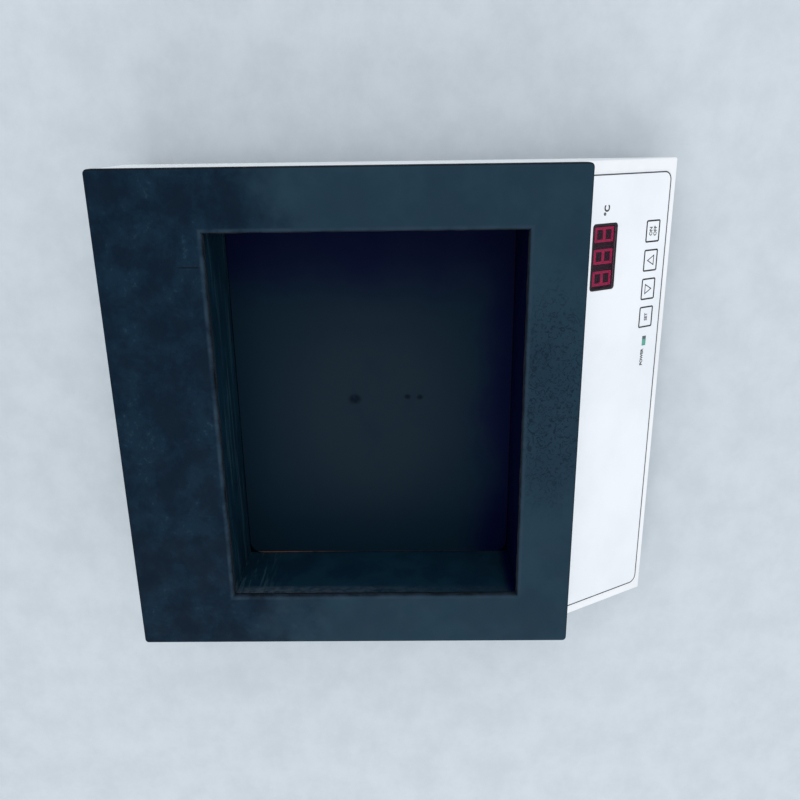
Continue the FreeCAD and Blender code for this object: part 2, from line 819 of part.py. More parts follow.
def key_places():
    """The middle of each key, along the panel."""
    return [FIRST_KEY + S.key_pitch * number for number in range(KEY_COUNT)]


def make_panel_foil():
    """The printed foil on the slope, with a cut-out for the display and a shallow seat over each dome."""
    part = body("panel_foil")
    plan = sketch(part, "XY_Plane")
    left = S.foil_left_in - HALF_WIDE
    right = HALF_WIDE - S.foil_right_in
    rounded(plan, left, S.foil_front_in - SLOPE, right, S.foil_corner, S.foil_corner)
    pad(part, plan, S.foil_thick)
    past_bend = sketch(part, "XY_Plane")
    rectangle(past_bend, left, -S.foil_back_gap, right, S.foil_corner)
    pocket(part, past_bend, S.foil_thick, up=True)
    window = sketch(part, "XY_Plane")
    half_x = S.window_wide / 2 + S.cut_gap
    half_y = S.window_high / 2 + S.cut_gap
    rounded(window, WINDOW_X - half_x, -S.window_back - half_y,
            WINDOW_X + half_x, half_y - S.window_back, S.window_corner + S.cut_gap)
    half_x = S.lamp_wide / 2 + S.cut_gap
    half_y = S.lamp_high / 2 + S.cut_gap
    rectangle(window, LAMP_X - half_x, -KEY_BACK - half_y, LAMP_X + half_x, half_y - KEY_BACK)
    pocket(part, window, S.foil_thick, up=True)
    seats = sketch(part, "XY_Plane")
    half = S.dome_wide / 2 + S.cut_gap
    for x in key_places():
        rectangle(seats, x - half, -KEY_BACK - half, x + half, half - KEY_BACK)
    pocket(part, seats, S.dome_pocket, up=True)
    node(on_panel(part), "panel_foil")
    domes = [cut(dome(x, 0), [dome(x, S.dome_skin)]) for x in key_places()]
    node(on_panel(group(domes)), "key_domes")


def dome(x, skin):
    """The outer or, less its skin, the inner form of a four-legged snap dome."""
    wedge = DOC.addObject("Part::Wedge", "Dome")
    base = S.dome_wide / 2 - skin
    top = S.dome_top / 2 - skin
    for side, reach in (("min", -base), ("max", base)):
        bind(wedge, "X" + side, reach)
        bind(wedge, "Z" + side, reach)
    for side, reach in (("min", -top), ("max", top)):
        bind(wedge, "X2" + side, reach)
        bind(wedge, "Z2" + side, reach)
    bind(wedge, "Ymin", 0)
    bind(wedge, "Ymax", S.dome_high - skin)
    return place(wedge, x, -KEY_BACK - CENTRE_Y, 0, Vector(1, 0, 0), 90)


def make_display():
    """The dark red window, the three digit blocks behind it and the bars that light up in them."""
    window = body("display_window")
    plan = sketch(window, "XY_Plane", -S.sheet)
    half_x = S.window_wide / 2
    half_y = S.window_high / 2
    rounded(plan, WINDOW_X - half_x, -S.window_back - half_y,
            WINDOW_X + half_x, half_y - S.window_back, S.window_corner)
    pad(window, plan, S.sheet + S.foil_thick)
    node(on_panel(window), "display_window")

    names = ("digit_left", "digit_middle", "digit_right")
    bars = []
    for place_number, name in enumerate(names):
        x = WINDOW_X + S.digit_pitch * (place_number - 1)
        digit = body(name)
        block = sketch(digit, "XY_Plane", -S.sheet)
        rectangle(block, x - S.digit_wide / 2, -DIGIT_BACK - S.digit_high / 2,
                  x + S.digit_wide / 2, S.digit_high / 2 - DIGIT_BACK)
        pad(digit, block, S.digit_deep, back=True)
        seats = sketch(digit, "XY_Plane", -S.sheet)
        for points in bar_outlines(x):
            outline(seats, points)
        circle(seats, *point_place(x), S.point_radius)
        pocket(digit, seats, S.bar_deep)
        node(on_panel(digit), name)
        bars.append(light_bars(x))
    node(on_panel(group(bars)), "digit_bars")


def bar_outlines(x):
    """The outlines of the seven bars of one digit: three across and four upright, with bevelled ends."""
    lean = tangent(S.bar_slant)
    half = S.bar_thick / 2
    rise = (S.bar_high - S.bar_thick) / 2
    reach = (S.bar_wide - S.bar_thick) / 2

    def leaned(px, py):
        return x + px + py * lean, py - DIGIT_BACK

    for level in (-1, 0, 1):
        y = rise * level
        tip = reach - S.bar_gap
        ends = [(-tip, 0), (half - tip, -half), (tip - half, -half), (tip, 0), (tip - half, half),
                (half - tip, half)]
        yield [leaned(px, y + py) for px, py in ends]
    for side in (-1, 1):
        for level in (-1, 1):
            low = S.bar_gap if level > 0 else S.bar_gap - rise
            high = low + rise - S.bar_gap * 2
            cx = reach * side
            ends = [(cx, low), (cx + half, low + half), (cx + half, high - half), (cx, high),
                    (cx - half, high - half), (cx - half, low + half)]
            yield [leaned(px, py) for px, py in ends]


def point_place(x):
    """The middle of a digit's decimal point."""
    return x + S.bar_wide / 2 + S.point_radius, -DIGIT_BACK - S.bar_high / 2 + S.point_radius


def light_bars(x):
    """The clear bars and the decimal point of one digit, each a solid of its own in its seat."""
    part = body("bars")
    part.AllowCompound = True
    plan = sketch(part, "XY_Plane", -S.sheet)
    for points in bar_outlines(x):
        outline(plan, points)
    circle(plan, *point_place(x), S.point_radius)
    pad(part, plan, S.bar_deep, back=True)
    return part


def make_control_board():
    """The board below the slope, with the lamp, a chip and its snap posts."""
    part = body("control_board")
    face = -S.sheet - S.digit_deep
    left = LAMP_X - S.lamp_wide / 2 - S.board_past_lamp
    right = WINDOW_X + S.digit_pitch + S.digit_wide / 2 + S.board_past_digits
    front = S.board_front_in - SLOPE
    plan = sketch(part, "XY_Plane", face)
    rectangle(plan, left, front, right, -S.board_top)
    pad(part, plan, S.board_thick, back=True)
    spots = [(x, y) for x in (left + S.post_inset, right - S.post_inset)
             for y in (front + S.post_rise, -S.board_top - S.post_inset)]
    holes = sketch(part, "XY_Plane", face)
    half = S.post_neck / 2 + S.cut_gap
    for x, y in spots:
        rectangle(holes, x - half, y - half, x + half, y + half)
    pocket(part, holes, S.board_thick)
    node(on_panel(part), "control_board")
    posts = [snap_post(x, y - CENTRE_Y, face, S.digit_deep, -1) for x, y in spots]
    node(on_panel(group(posts)), "board_pillars")

    lamp = body("power_lamp")
    spot = sketch(lamp, "XY_Plane", face)
    half_x = S.lamp_wide / 2
    half_y = S.lamp_high / 2
    rectangle(spot, LAMP_X - half_x, -KEY_BACK - half_y,
              LAMP_X + half_x, half_y - KEY_BACK)
    pad(lamp, spot, S.digit_deep + S.sheet + S.foil_thick)
    node(on_panel(lamp), "power_lamp")

    chip = body("controller_chip")
    spot = sketch(chip, "XY_Plane", face - S.board_thick)
    middle = WINDOW_X - S.digit_pitch
    low = front / 2 - S.chip_wide / 2
    rectangle(spot, middle - S.chip_long / 2, low, middle + S.chip_long / 2, low + S.chip_wide)
    pad(chip, spot, S.chip_thick, back=True)
    node(on_panel(chip), "controller_chip")


def snap_post(x, y, seat, high, toward):
    """A square board support whose neck and barbed head snap through the board, up (1) or down (-1)."""
    def level(low, length):
        return seat + low if toward > 0 else seat - low - length

    def bar(wide, deep, low, length):
        return box(x - wide / 2, y - deep / 2, level(low, length), wide, deep, length)

    stem = bar(S.post_wide, S.post_wide, -high, high)
    neck = bar(S.post_neck, S.post_neck, 0, S.board_thick)
    head = bar(S.post_barb, S.post_neck, S.board_thick, S.post_head)
    return fuse([stem, neck, head])


def make_power_board():
    """The mains board behind the tank, with its transformer, heat sink, relay, capacitor and terminals."""
    board_z = TRAY_TOP + S.power_lift
    top = board_z + S.board_thick
    front = TANK_BACK + S.power_clear
    back = HALF_DEEP - S.power_rear_in
    right = RELAY_LEFT + S.relay_wide + S.power_past_relay
    middle = (front + back) / 2
    board = box(POWER_LEFT, front, board_z, right - POWER_LEFT, back - front, S.board_thick)
    inset = S.post_inset
    spots = [(x, y) for x in (POWER_LEFT + inset, right - inset) for y in (front + inset, back - inset)]
    hole = S.post_neck + S.cut_gap * 2
    holes = [box(x - hole / 2, y - hole / 2, board_z, hole, hole, S.board_thick) for x, y in spots]
    node(cut(board, holes), "power_board")
    node(group([snap_post(x, y, board_z, S.power_lift, 1) for x, y in spots]), "power_pillars")
    make_transformer(middle, top)
    make_heat_sink(middle, top)
    relay = box(RELAY_LEFT, middle - S.relay_deep / 2, top, S.relay_wide, S.relay_deep, S.relay_high)
    node(relay, "relay")
    node(rod(CAPACITOR_X, middle, top, S.capacitor_radius, S.capacitor_high), "smoothing_capacitor")
    face = middle - S.terminal_deep / 2
    block = box(TERMINAL_LEFT, face, top, S.terminal_wide, S.terminal_deep, S.terminal_high)
    size = S.terminal_port
    step = S.terminal_wide / (S.terminal_ports + 1)
    low = top + S.terminal_high / 2 - size / 2
    ports = [box(TERMINAL_LEFT + step * number - size / 2, face, low, size, S.terminal_deep / 2, size)
             for number in range(1, int(S.terminal_ports.value) + 1)]
    node(cut(block, ports), "terminal_block")


def make_transformer(middle, top):
    """A laminated core with two windows, and the coil that fills them."""
    front = middle - S.core_deep / 2
    core_z = top + S.core_seat
    core = box(CORE_LEFT, front, core_z, S.core_wide, S.core_deep, S.core_high)
    window_high = S.core_high - S.core_leg * 2
    gaps = []
    for side in (-1, 1):
        x = TRANSFORMER_X + side * (S.core_wide / 2 - S.core_leg - S.core_window / 2) - S.core_window / 2
        gaps.append(box(x, front, core_z + S.core_leg, S.core_window, S.core_deep, window_high))
    node(cut(core, gaps), "transformer_core")
    coil_wide = S.core_wide - S.core_leg * 2
    outer = box(TRANSFORMER_X - coil_wide / 2, middle - S.coil_deep / 2, core_z + S.core_leg,
                coil_wide, S.coil_deep, window_high)
    leg_wide = coil_wide - S.core_window * 2
    bore = box(TRANSFORMER_X - leg_wide / 2, front, core_z + S.core_leg,
               leg_wide, S.core_deep, window_high)
    feet = []
    for end in (-1, 1):
        y = middle + end * (S.coil_deep + S.core_deep) / 4 - S.coil_foot / 2
        feet.append(box(TRANSFORMER_X - coil_wide / 2, y, top, coil_wide, S.coil_foot,
                        S.core_leg + S.core_seat))
    node(fuse([cut(outer, [bore])] + feet), "transformer_coil")


def make_heat_sink(middle, top):
    """An upright finned extrusion with the heating triac on its flat side."""
    front = middle - S.sink_fin_deep / 2
    plate = box(SINK_LEFT, front, top, S.sink_wide, S.sink_back, S.sink_high)
    count = int(S.sink_fins.value)
    step = (S.sink_wide - S.sink_fin) / (count - 1)
    fins = [box(SINK_LEFT + step * number, front, top, S.sink_fin, S.sink_fin_deep, S.sink_high)
            for number in range(count)]
    node(fuse([plate] + fins), "heat_sink")
    triac_x = SINK_LEFT + S.sink_wide / 2 - S.triac_wide / 2
    triac = box(triac_x, front - S.triac_thick, top, S.triac_wide, S.triac_thick, S.triac_high)
    node(triac, "heater_triac")


def rear_point(x, z):
    """A place on the outer face of the rear wall, at a height above the wall's middle."""
    return x, HALF_DEEP, REAR_CENTRE + z


def make_inlet():
    """The mains inlet: a bezel and body with a three-pin socket above and a fuse drawer below."""
    part = body("mains_inlet")
    bezel = sketch(part, "XZ_Plane")
    half_x = S.inlet_bezel_wide / 2
    half_z = S.inlet_bezel_high / 2
    rounded(bezel, -half_x, -half_z, half_x, half_z, S.bezel_corner)
    pad(part, bezel, S.bezel_thick, back=True)
    trunk = sketch(part, "XZ_Plane")
    rectangle(trunk, -S.inlet_wide / 2, -S.inlet_high / 2, S.inlet_wide / 2, S.inlet_high / 2)
    pad(part, trunk, S.inlet_deep)
    socket = sketch(part, "XZ_Plane", -S.bezel_thick)
    half_x = S.socket_wide / 2
    low = S.socket_rise - S.socket_high / 2
    high = S.socket_rise + S.socket_high / 2
    chamfer = S.socket_chamfer
    outline(socket, [(-half_x, low), (half_x, low), (half_x, high - chamfer), (half_x - chamfer, high),
                     (chamfer - half_x, high), (-half_x, high - chamfer)])
    pocket(part, socket, S.socket_deep + S.bezel_thick, up=True)
    bay = sketch(part, "XZ_Plane", -S.bezel_thick)
    half_x = S.drawer_wide / 2 + S.drawer_gap
    half_z = S.drawer_high / 2 + S.drawer_gap
    rectangle(bay, -half_x, -S.drawer_drop - half_z, half_x, half_z - S.drawer_drop)
    pocket(part, bay, S.drawer_long + S.bezel_thick + S.drawer_gap, up=True)
    slots = sketch(part, "XZ_Plane", S.socket_deep)
    for x, z in pin_places():
        rectangle(slots, x - S.pin_wide / 2, z - S.pin_high / 2, x + S.pin_wide / 2, z + S.pin_high / 2)
    pocket(part, slots, S.inlet_deep - S.socket_deep, up=True)
    node(place(part, *rear_point(INLET_X, 0)), "mains_inlet")

    pins = []
    for x, z in pin_places():
        long = S.pin_long + S.inlet_deep - S.socket_deep + S.tab_long
        pins.append(box(INLET_X + x - S.pin_wide / 2, HALF_DEEP - S.inlet_deep - S.tab_long,
                        REAR_CENTRE + z - S.pin_high / 2, S.pin_wide, long, S.pin_high))
    node(group(pins), "inlet_pins")

    drawer = body("fuse_drawer")
    tray = sketch(drawer, "XZ_Plane", -S.bezel_thick)
    half_x = S.drawer_wide / 2
    half_z = S.drawer_high / 2
    rectangle(tray, -half_x, -half_z, half_x, half_z)
    pad(drawer, tray, S.drawer_long + S.bezel_thick)
    front = sketch(drawer, "XZ_Plane", -S.bezel_thick)
    rounded(front, -half_x - S.drawer_lip, -half_z - S.drawer_lip, half_x + S.drawer_lip,
            half_z + S.drawer_lip, S.drawer_lip)
    pad(drawer, front, S.drawer_face, back=True)
    beds = sketch(drawer, "XZ_Plane", S.drawer_long)
    for side in (-1, 1):
        circle(beds, S.fuse_spread * side, 0, S.fuse_radius + S.fuse_gap)
    pocket(drawer, beds, S.fuse_long)
    node(place(drawer, *rear_point(INLET_X, -S.drawer_drop)), "fuse_drawer")

    fuses = [rod(INLET_X + S.fuse_spread * side, HALF_DEEP - S.drawer_long,
                 REAR_CENTRE - S.drawer_drop, S.fuse_radius, S.fuse_long, Vector(-1, 0, 0), 90)
             for side in (-1, 1)]
    node(group(fuses), "fuses")


def pin_places():
    """The middle of each mains pin, from the middle of the inlet."""
    low = S.socket_rise - S.pin_offset
    return [(-S.pin_spread, low), (S.pin_spread, low), (0, S.socket_rise + S.pin_offset)]


def make_switch():
    """The mains switch: a framed body with a rocker that tips on two round pins."""
    part = body("switch_frame")
    bezel = sketch(part, "XZ_Plane")
    half_x = S.switch_bezel_wide / 2
    half_z = S.switch_bezel_high / 2
    rounded(bezel, -half_x, -half_z, half_x, half_z, S.bezel_corner)
    pad(part, bezel, S.bezel_thick, back=True)
    trunk = sketch(part, "XZ_Plane")
    half_x = S.switch_wide / 2
    rectangle(trunk, -half_x, -switch_high() / 2, half_x, switch_high() / 2)
    pad(part, trunk, S.switch_deep)
    well = sketch(part, "XZ_Plane", -S.bezel_thick)
    well_x = S.rocker_wide / 2 + S.rocker_gap
    well_z = S.rocker_radius + S.rocker_gap
    rectangle(well, -well_x, -well_z, well_x, well_z)
    pocket(part, well, S.rocker_sink + S.rocker_radius, up=True)
    holes = sketch(part, "YZ_Plane")
    circle(holes, PIVOT_OUT, 0, S.pivot_radius + S.pivot_gap)
    pocket(part, holes, (well_x + S.pivot_long + S.pivot_gap) * 2, both=True)
    node(place(part, *rear_point(SWITCH_X, 0)), "switch_frame")

    rocker = body("power_rocker")
    side = sketch(rocker, "YZ_Plane")
    rocker_outline(side)
    pad(rocker, side, S.rocker_wide, both=True)
    axle = sketch(rocker, "YZ_Plane")
    circle(axle, 0, 0, S.pivot_radius)
    pad(rocker, axle, S.rocker_wide + S.rocker_gap * 2 + S.pivot_long * 2, both=True)
    place(rocker, SWITCH_X, HALF_DEEP + PIVOT_OUT, REAR_CENTRE, Vector(1, 0, 0), -HALF_SWING)
    node(rocker, "power_rocker")

    tabs = []
    for x in (-1, 1):
        for z in (-1, 1):
            tabs.append(box(SWITCH_X + x * S.tab_spread - S.tab_thick / 2,
                            HALF_DEEP - S.switch_deep - S.tab_long,
                            REAR_CENTRE + z * S.pin_spread - S.pin_high / 2,
                            S.tab_thick, S.tab_long, S.pin_high))
    node(group(tabs), "switch_tabs")


def rocker_outline(drawing):
    """The rocker from the side: round ends about the pivot and a face with a shallow crease."""
    radius = S.rocker_radius.value
    face = S.rocker_face.value
    back = S.rocker_back.value
    round_edge = Part.Circle(Vector(), UP, radius)
    face_turn = math.acos(face / radius)
    back_turn = math.acos(-back / radius)
    upper = drawing.addGeometry(Part.ArcOfCircle(round_edge, face_turn, back_turn))
    lower = drawing.addGeometry(Part.ArcOfCircle(round_edge, -back_turn, -face_turn))
    high = radius * math.sin(face_turn)
    deep = radius * math.sin(back_turn)
    crease = Vector(S.rocker_crease.value, 0, 0)
    rear = drawing.addGeometry(Part.LineSegment(Vector(-back, deep, 0), Vector(-back, -deep, 0)))
    first = drawing.addGeometry(Part.LineSegment(Vector(face, -high, 0), crease))
    second = drawing.addGeometry(Part.LineSegment(crease, Vector(face, high, 0)))
    for a, a_end, b, b_end in ((upper, 2, rear, 1), (rear, 2, lower, 1), (lower, 2, first, 1),
                               (first, 2, second, 1), (second, 2, upper, 1)):
        drawing.addConstraint(Sketcher.Constraint("Coincident", a, a_end, b, b_end))
    for arc in (upper, lower):
        drawing.addConstraint(Sketcher.Constraint("Coincident", arc, 3, -1, 1))
        number = drawing.addConstraint(Sketcher.Constraint("Radius", arc, radius))
        bind(drawing, "Constraints[%d]" % number, S.rocker_radius)
    pin_point(drawing, first, 2, S.rocker_crease, 0)
    for edge, end, size in ((rear, 1, -S.rocker_back), (rear, 2, -S.rocker_back),
                            (first, 1, S.rocker_face), (second, 2, S.rocker_face)):
        number = drawing.addConstraint(Sketcher.Constraint("DistanceX", -1, 1, edge, end, size.value))
        bind(drawing, "Constraints[%d]" % number, size)


def make_earth():
    """The earth stud on the tray and its nut."""
    y = HALF_DEEP - S.tray_inset - S.earth_back
    node(rod(SWITCH_X, y, TRAY_TOP, S.screw_radius, S.earth_long), "earth_stud")
    nut = hex_sleeve(SWITCH_X, y, TRAY_TOP, S.screw_across, S.nut_high, S.thread_radius)
    node(nut, "earth_nut")


def export():
    """Checks every object and writes each node to its own file."""
    DOC.recompute()
    for thing in DOC.Objects:
        if "Invalid" in thing.State or "Error" in thing.State:
            raise ValueError("%s (%s) failed: %s" % (thing.Name, thing.Label, thing.State))
    for name, thing in NODES.items():
        shape = thing.Shape
        if shape.isNull() or not shape.isValid() or not shape.Solids:
            raise ValueError(name + " is not a valid solid")
    os.makedirs("parts", exist_ok=True)
    for name, thing in NODES.items():
        thing.Shape.exportStep(os.path.join("parts", name + ".step"))
    print(len(NODES), "nodes written")


make_top_frame()
make_tank()
make_heating()
make_housing()
make_base_tray()
make_feet()
make_frame_screws()
make_panel_foil()
make_display()
make_control_board()
make_power_board()
make_inlet()
make_switch()
make_earth()
export()
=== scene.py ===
"""Dresses the histology water bath in its finishes, window, print, seam and marks.

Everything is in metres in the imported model's frame: +Z is up, the control panel faces -Y and +X is the user's
right. The photograph shows the bath set on its left side, so the camera is rolled and +X points up in the
picture.
"""

from __future__ import annotations

import logging
import math
from collections.abc import Callable, Iterable
from dataclasses import dataclass
from enum import Enum
from functools import partial, reduce

import bpy
from mathutils import Matrix, Vector

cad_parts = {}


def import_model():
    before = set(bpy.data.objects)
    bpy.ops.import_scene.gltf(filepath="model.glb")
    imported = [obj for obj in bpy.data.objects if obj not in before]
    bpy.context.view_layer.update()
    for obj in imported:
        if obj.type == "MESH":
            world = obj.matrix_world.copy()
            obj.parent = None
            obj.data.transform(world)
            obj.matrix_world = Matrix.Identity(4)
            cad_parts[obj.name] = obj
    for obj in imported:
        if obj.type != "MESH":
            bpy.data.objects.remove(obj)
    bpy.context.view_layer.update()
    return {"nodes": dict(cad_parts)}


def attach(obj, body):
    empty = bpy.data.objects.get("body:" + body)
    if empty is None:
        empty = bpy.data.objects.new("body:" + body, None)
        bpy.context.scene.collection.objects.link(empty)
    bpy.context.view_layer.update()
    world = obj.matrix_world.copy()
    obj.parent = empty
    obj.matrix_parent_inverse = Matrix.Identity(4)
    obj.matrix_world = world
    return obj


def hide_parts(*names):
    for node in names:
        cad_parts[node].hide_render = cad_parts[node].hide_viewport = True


LOG = logging.getLogger("water_bath")
MM = 0.001

# Real sizes of the bath in millimetres, as the CAD has them.
OPENING_HALF_X = 115.2
OPENING_HALF_Y = 90.55
OPENING_CENTRE_Y = 14.504
FRAME_TOP_Z = 94.0
FLOOR_TOP_Z = 37.8
SLOPE_TOP_Y = -109.046
SLOPE_TOP_Z = 67.7
PANEL_TILT = 30.4
PANEL_SKIN = 0.7
KEY_ROW_Y = -57.8
KEY_FIRST_X = 53.1
KEY_PITCH = 17.9
WINDOW_X = 94.1
WINDOW_Y = -18.6
WINDOW_WIDE = 39.6
WINDOW_HIGH = 19.3
WINDOW_CORNER = 2.0

Socket = bpy.types.NodeSocket
Material = bpy.types.Material
Triple = tuple[float, float, float]


class Direction(Enum):
    """The way an arrow mark points on the panel."""

    UP = 1
    DOWN = -1


def srgb(code: str) -> tuple[float, ...]:
    """Turns an sRGB hex colour into the linear colour that a socket takes.

    Args:
        code: A hash sign and six hex digits.

    Returns:
        Linear red, green and blue, and full alpha.
    """
    channels = [int(code[i:i + 2], 16) / 255 for i in (1, 3, 5)]
    return *(c / 12.92 if c <= 0.04045 else ((c + 0.055) / 1.055) ** 2.4 for c in channels), 1.0


def add_node(tree: bpy.types.NodeTree, kind: str, settings: dict | None = None,
             inputs: dict | None = None) -> bpy.types.Node:
    """Adds one shader node.

    Args:
        tree: The node tree it goes into.
        kind: The node's type name.
        settings: The node's properties by name.
        inputs: What goes into its sockets, by name or number: a pattern, a number, a vector or a hex colour.

    Returns:
        The new node.
    """
    node = tree.nodes.new(kind)
    for name, value in (settings or {}).items():
        setattr(node, name, value)
    for key, value in (inputs or {}).items():
        fill(node.inputs[key], value)
    return node


def fill(socket: Socket, value: object) -> None:
    """Links a pattern to a socket, or sets the socket to a constant.

    Args:
        socket: The socket.
        value: The pattern's socket, or a number, a vector, a colour or an sRGB hex code.
    """
    if isinstance(value, Socket):
        socket.id_data.links.new(value, socket)
    else:
        socket.default_value = srgb(value) if isinstance(value, str) else value


class Shading:
    """A material under construction: its tree, its surface shader and the patterns that feed it."""

    def __init__(self, name: str) -> None:
        """Starts a material with a Principled surface and Object coordinates.

        Args:
            name: The material's name.
        """
        self.material = bpy.data.materials.new(name)
        self.material.use_nodes = True
        self.tree = self.material.node_tree
        self.surface = self.tree.nodes["Principled BSDF"]
        self.place = add_node(self.tree, "ShaderNodeTexCoord").outputs["Object"]
        self.axes = add_node(self.tree, "ShaderNodeSeparateXYZ", inputs={0: self.place}).outputs
        self.normal: Socket | None = None

    def set(self, **values: object) -> None:
        """Fills sockets of the surface shader, named with underscores for spaces."""
        for name, value in values.items():
            fill(self.surface.inputs[name.replace("_", " ")], value)

    def noise(self, size_mm: float, detail: float = 3.0, roughness: float = 0.5,
              stretch: Triple | None = None, distortion: float = 0.0) -> Socket:
        """Adds a noise pattern.

        Args:
            size_mm: The size of one patch on the real surface.
            detail: How many finer layers it has.
            roughness: How strong the finer layers are.
            stretch: A factor for each axis; under 1 lengthens the patches along it.
            distortion: How far the patches are warped.

        Returns:
            The pattern's value, from 0 to 1.
        """
        place = self.place
        if stretch is not None:
            inputs = {"Vector": place, "Scale": stretch}
            place = add_node(self.tree, "ShaderNodeMapping", inputs=inputs).outputs[0]
        inputs = {"Vector": place, "Scale": 1 / (size_mm * MM), "Detail": detail, "Roughness": roughness,
                  "Distortion": distortion}
        return add_node(self.tree, "ShaderNodeTexNoise", inputs=inputs).outputs["Fac"]

    def math(self, operation: str, first: Socket | float, second: Socket | float = 0.0) -> Socket:
        """Adds the Math node's sum of that name and returns its result."""
        node = add_node(self.tree, "ShaderNodeMath", {"operation": operation}, {0: first, 1: second})
        return node.outputs[0]

    def times(self, *factors: Socket | float) -> Socket:
        """Multiplies patterns and numbers, so that the result shows only where all the patterns do."""
        return reduce(partial(self.math, "MULTIPLY"), factors)

    def blend(self, factor: Socket, first: Socket | str, second: Socket | str) -> Socket:
        """Mixes two colours, each a pattern or a hex code: a factor of 0 gives the first and 1 the second."""
        inputs = {0: factor, 6: first, 7: second}
        return add_node(self.tree, "ShaderNodeMix", {"data_type": "RGBA"}, inputs).outputs[2]

    def spread(self, source: Socket, low: float, high: float, first: float = 0.0,
               last: float = 1.0) -> Socket:
        """Maps a value from one range to another, held at both ends, with a soft start and end.

        Args:
            source: The value.
            low: Where its range starts.
            high: Where its range ends.
            first: The result at the start.
            last: The result at the end.

        Returns:
            The mapped value.
        """
        settings = {"interpolation_type": "SMOOTHSTEP"}
        inputs = {"Value": source, "From Min": low, "From Max": high, "To Min": first, "To Max": last}
        return add_node(self.tree, "ShaderNodeMapRange", settings, inputs).outputs[0]

    def along(self, axis: str, start_mm: float, end_mm: float, first: float = 0.0, last: float = 1.0,
              shift: Socket | float = 0.0) -> Socket:
        """Maps the place along an axis to a value; a shift in metres moves the place to and fro."""
        place = self.math("ADD", self.axes[axis], shift)
        return self.spread(place, start_mm * MM, end_mm * MM, first, last)

    def wander(self, reach_mm: float, size_mm: float, detail: float, roughness: float) -> Socket:
        """Gives a shift for along, ranging over a reach about zero, that turns a straight border cloudy."""
        cloud = self.noise(size_mm, detail, roughness)
        return self.times(self.math("SUBTRACT", cloud, 0.5), reach_mm * MM)

    def bump(self, height: Socket, depth_mm: float, strength: float = 1.0) -> None:
        """Raises the surface by a pattern, on top of the bumps it already has.

        Args:
            height: The pattern.
            depth_mm: How far it stands out at 1.
            strength: How much of it shows.
        """
        inputs = {"Height": height, "Distance": depth_mm * MM, "Strength": strength}
        if self.normal is not None:
            inputs["Normal"] = self.normal
        self.normal = add_node(self.tree, "ShaderNodeBump", inputs=inputs).outputs[0]

    def spot(self, point: Triple, inner: float, outer: float, stretch: Triple) -> Socket:
        """Gives 1 within a round patch about a point and 0 outside it, with sizes in millimetres.

        Args:
            point: The point.
            inner: The radius that is full.
            outer: The radius where it ends.
            stretch: A factor for each axis; under 1 lengthens the patch along it.

        Returns:
            The patch's value.
        """
        offset = [-place * MM * factor for place, factor in zip(point, stretch)]
        inputs = {"Vector": self.place, "Location": offset, "Scale": stretch}
        moved = add_node(self.tree, "ShaderNodeMapping", inputs=inputs).outputs[0]
        length = add_node(self.tree, "ShaderNodeVectorMath", {"operation": "LENGTH"}, {0: moved})
        return self.spread(length.outputs["Value"], inner * MM, outer * MM, 1.0, 0.0)

    def finish(self) -> Material:
        """Links the bumps, if there are any, and returns the material."""
        if self.normal is not None:
            fill(self.surface.inputs["Normal"], self.normal)
        return self.material


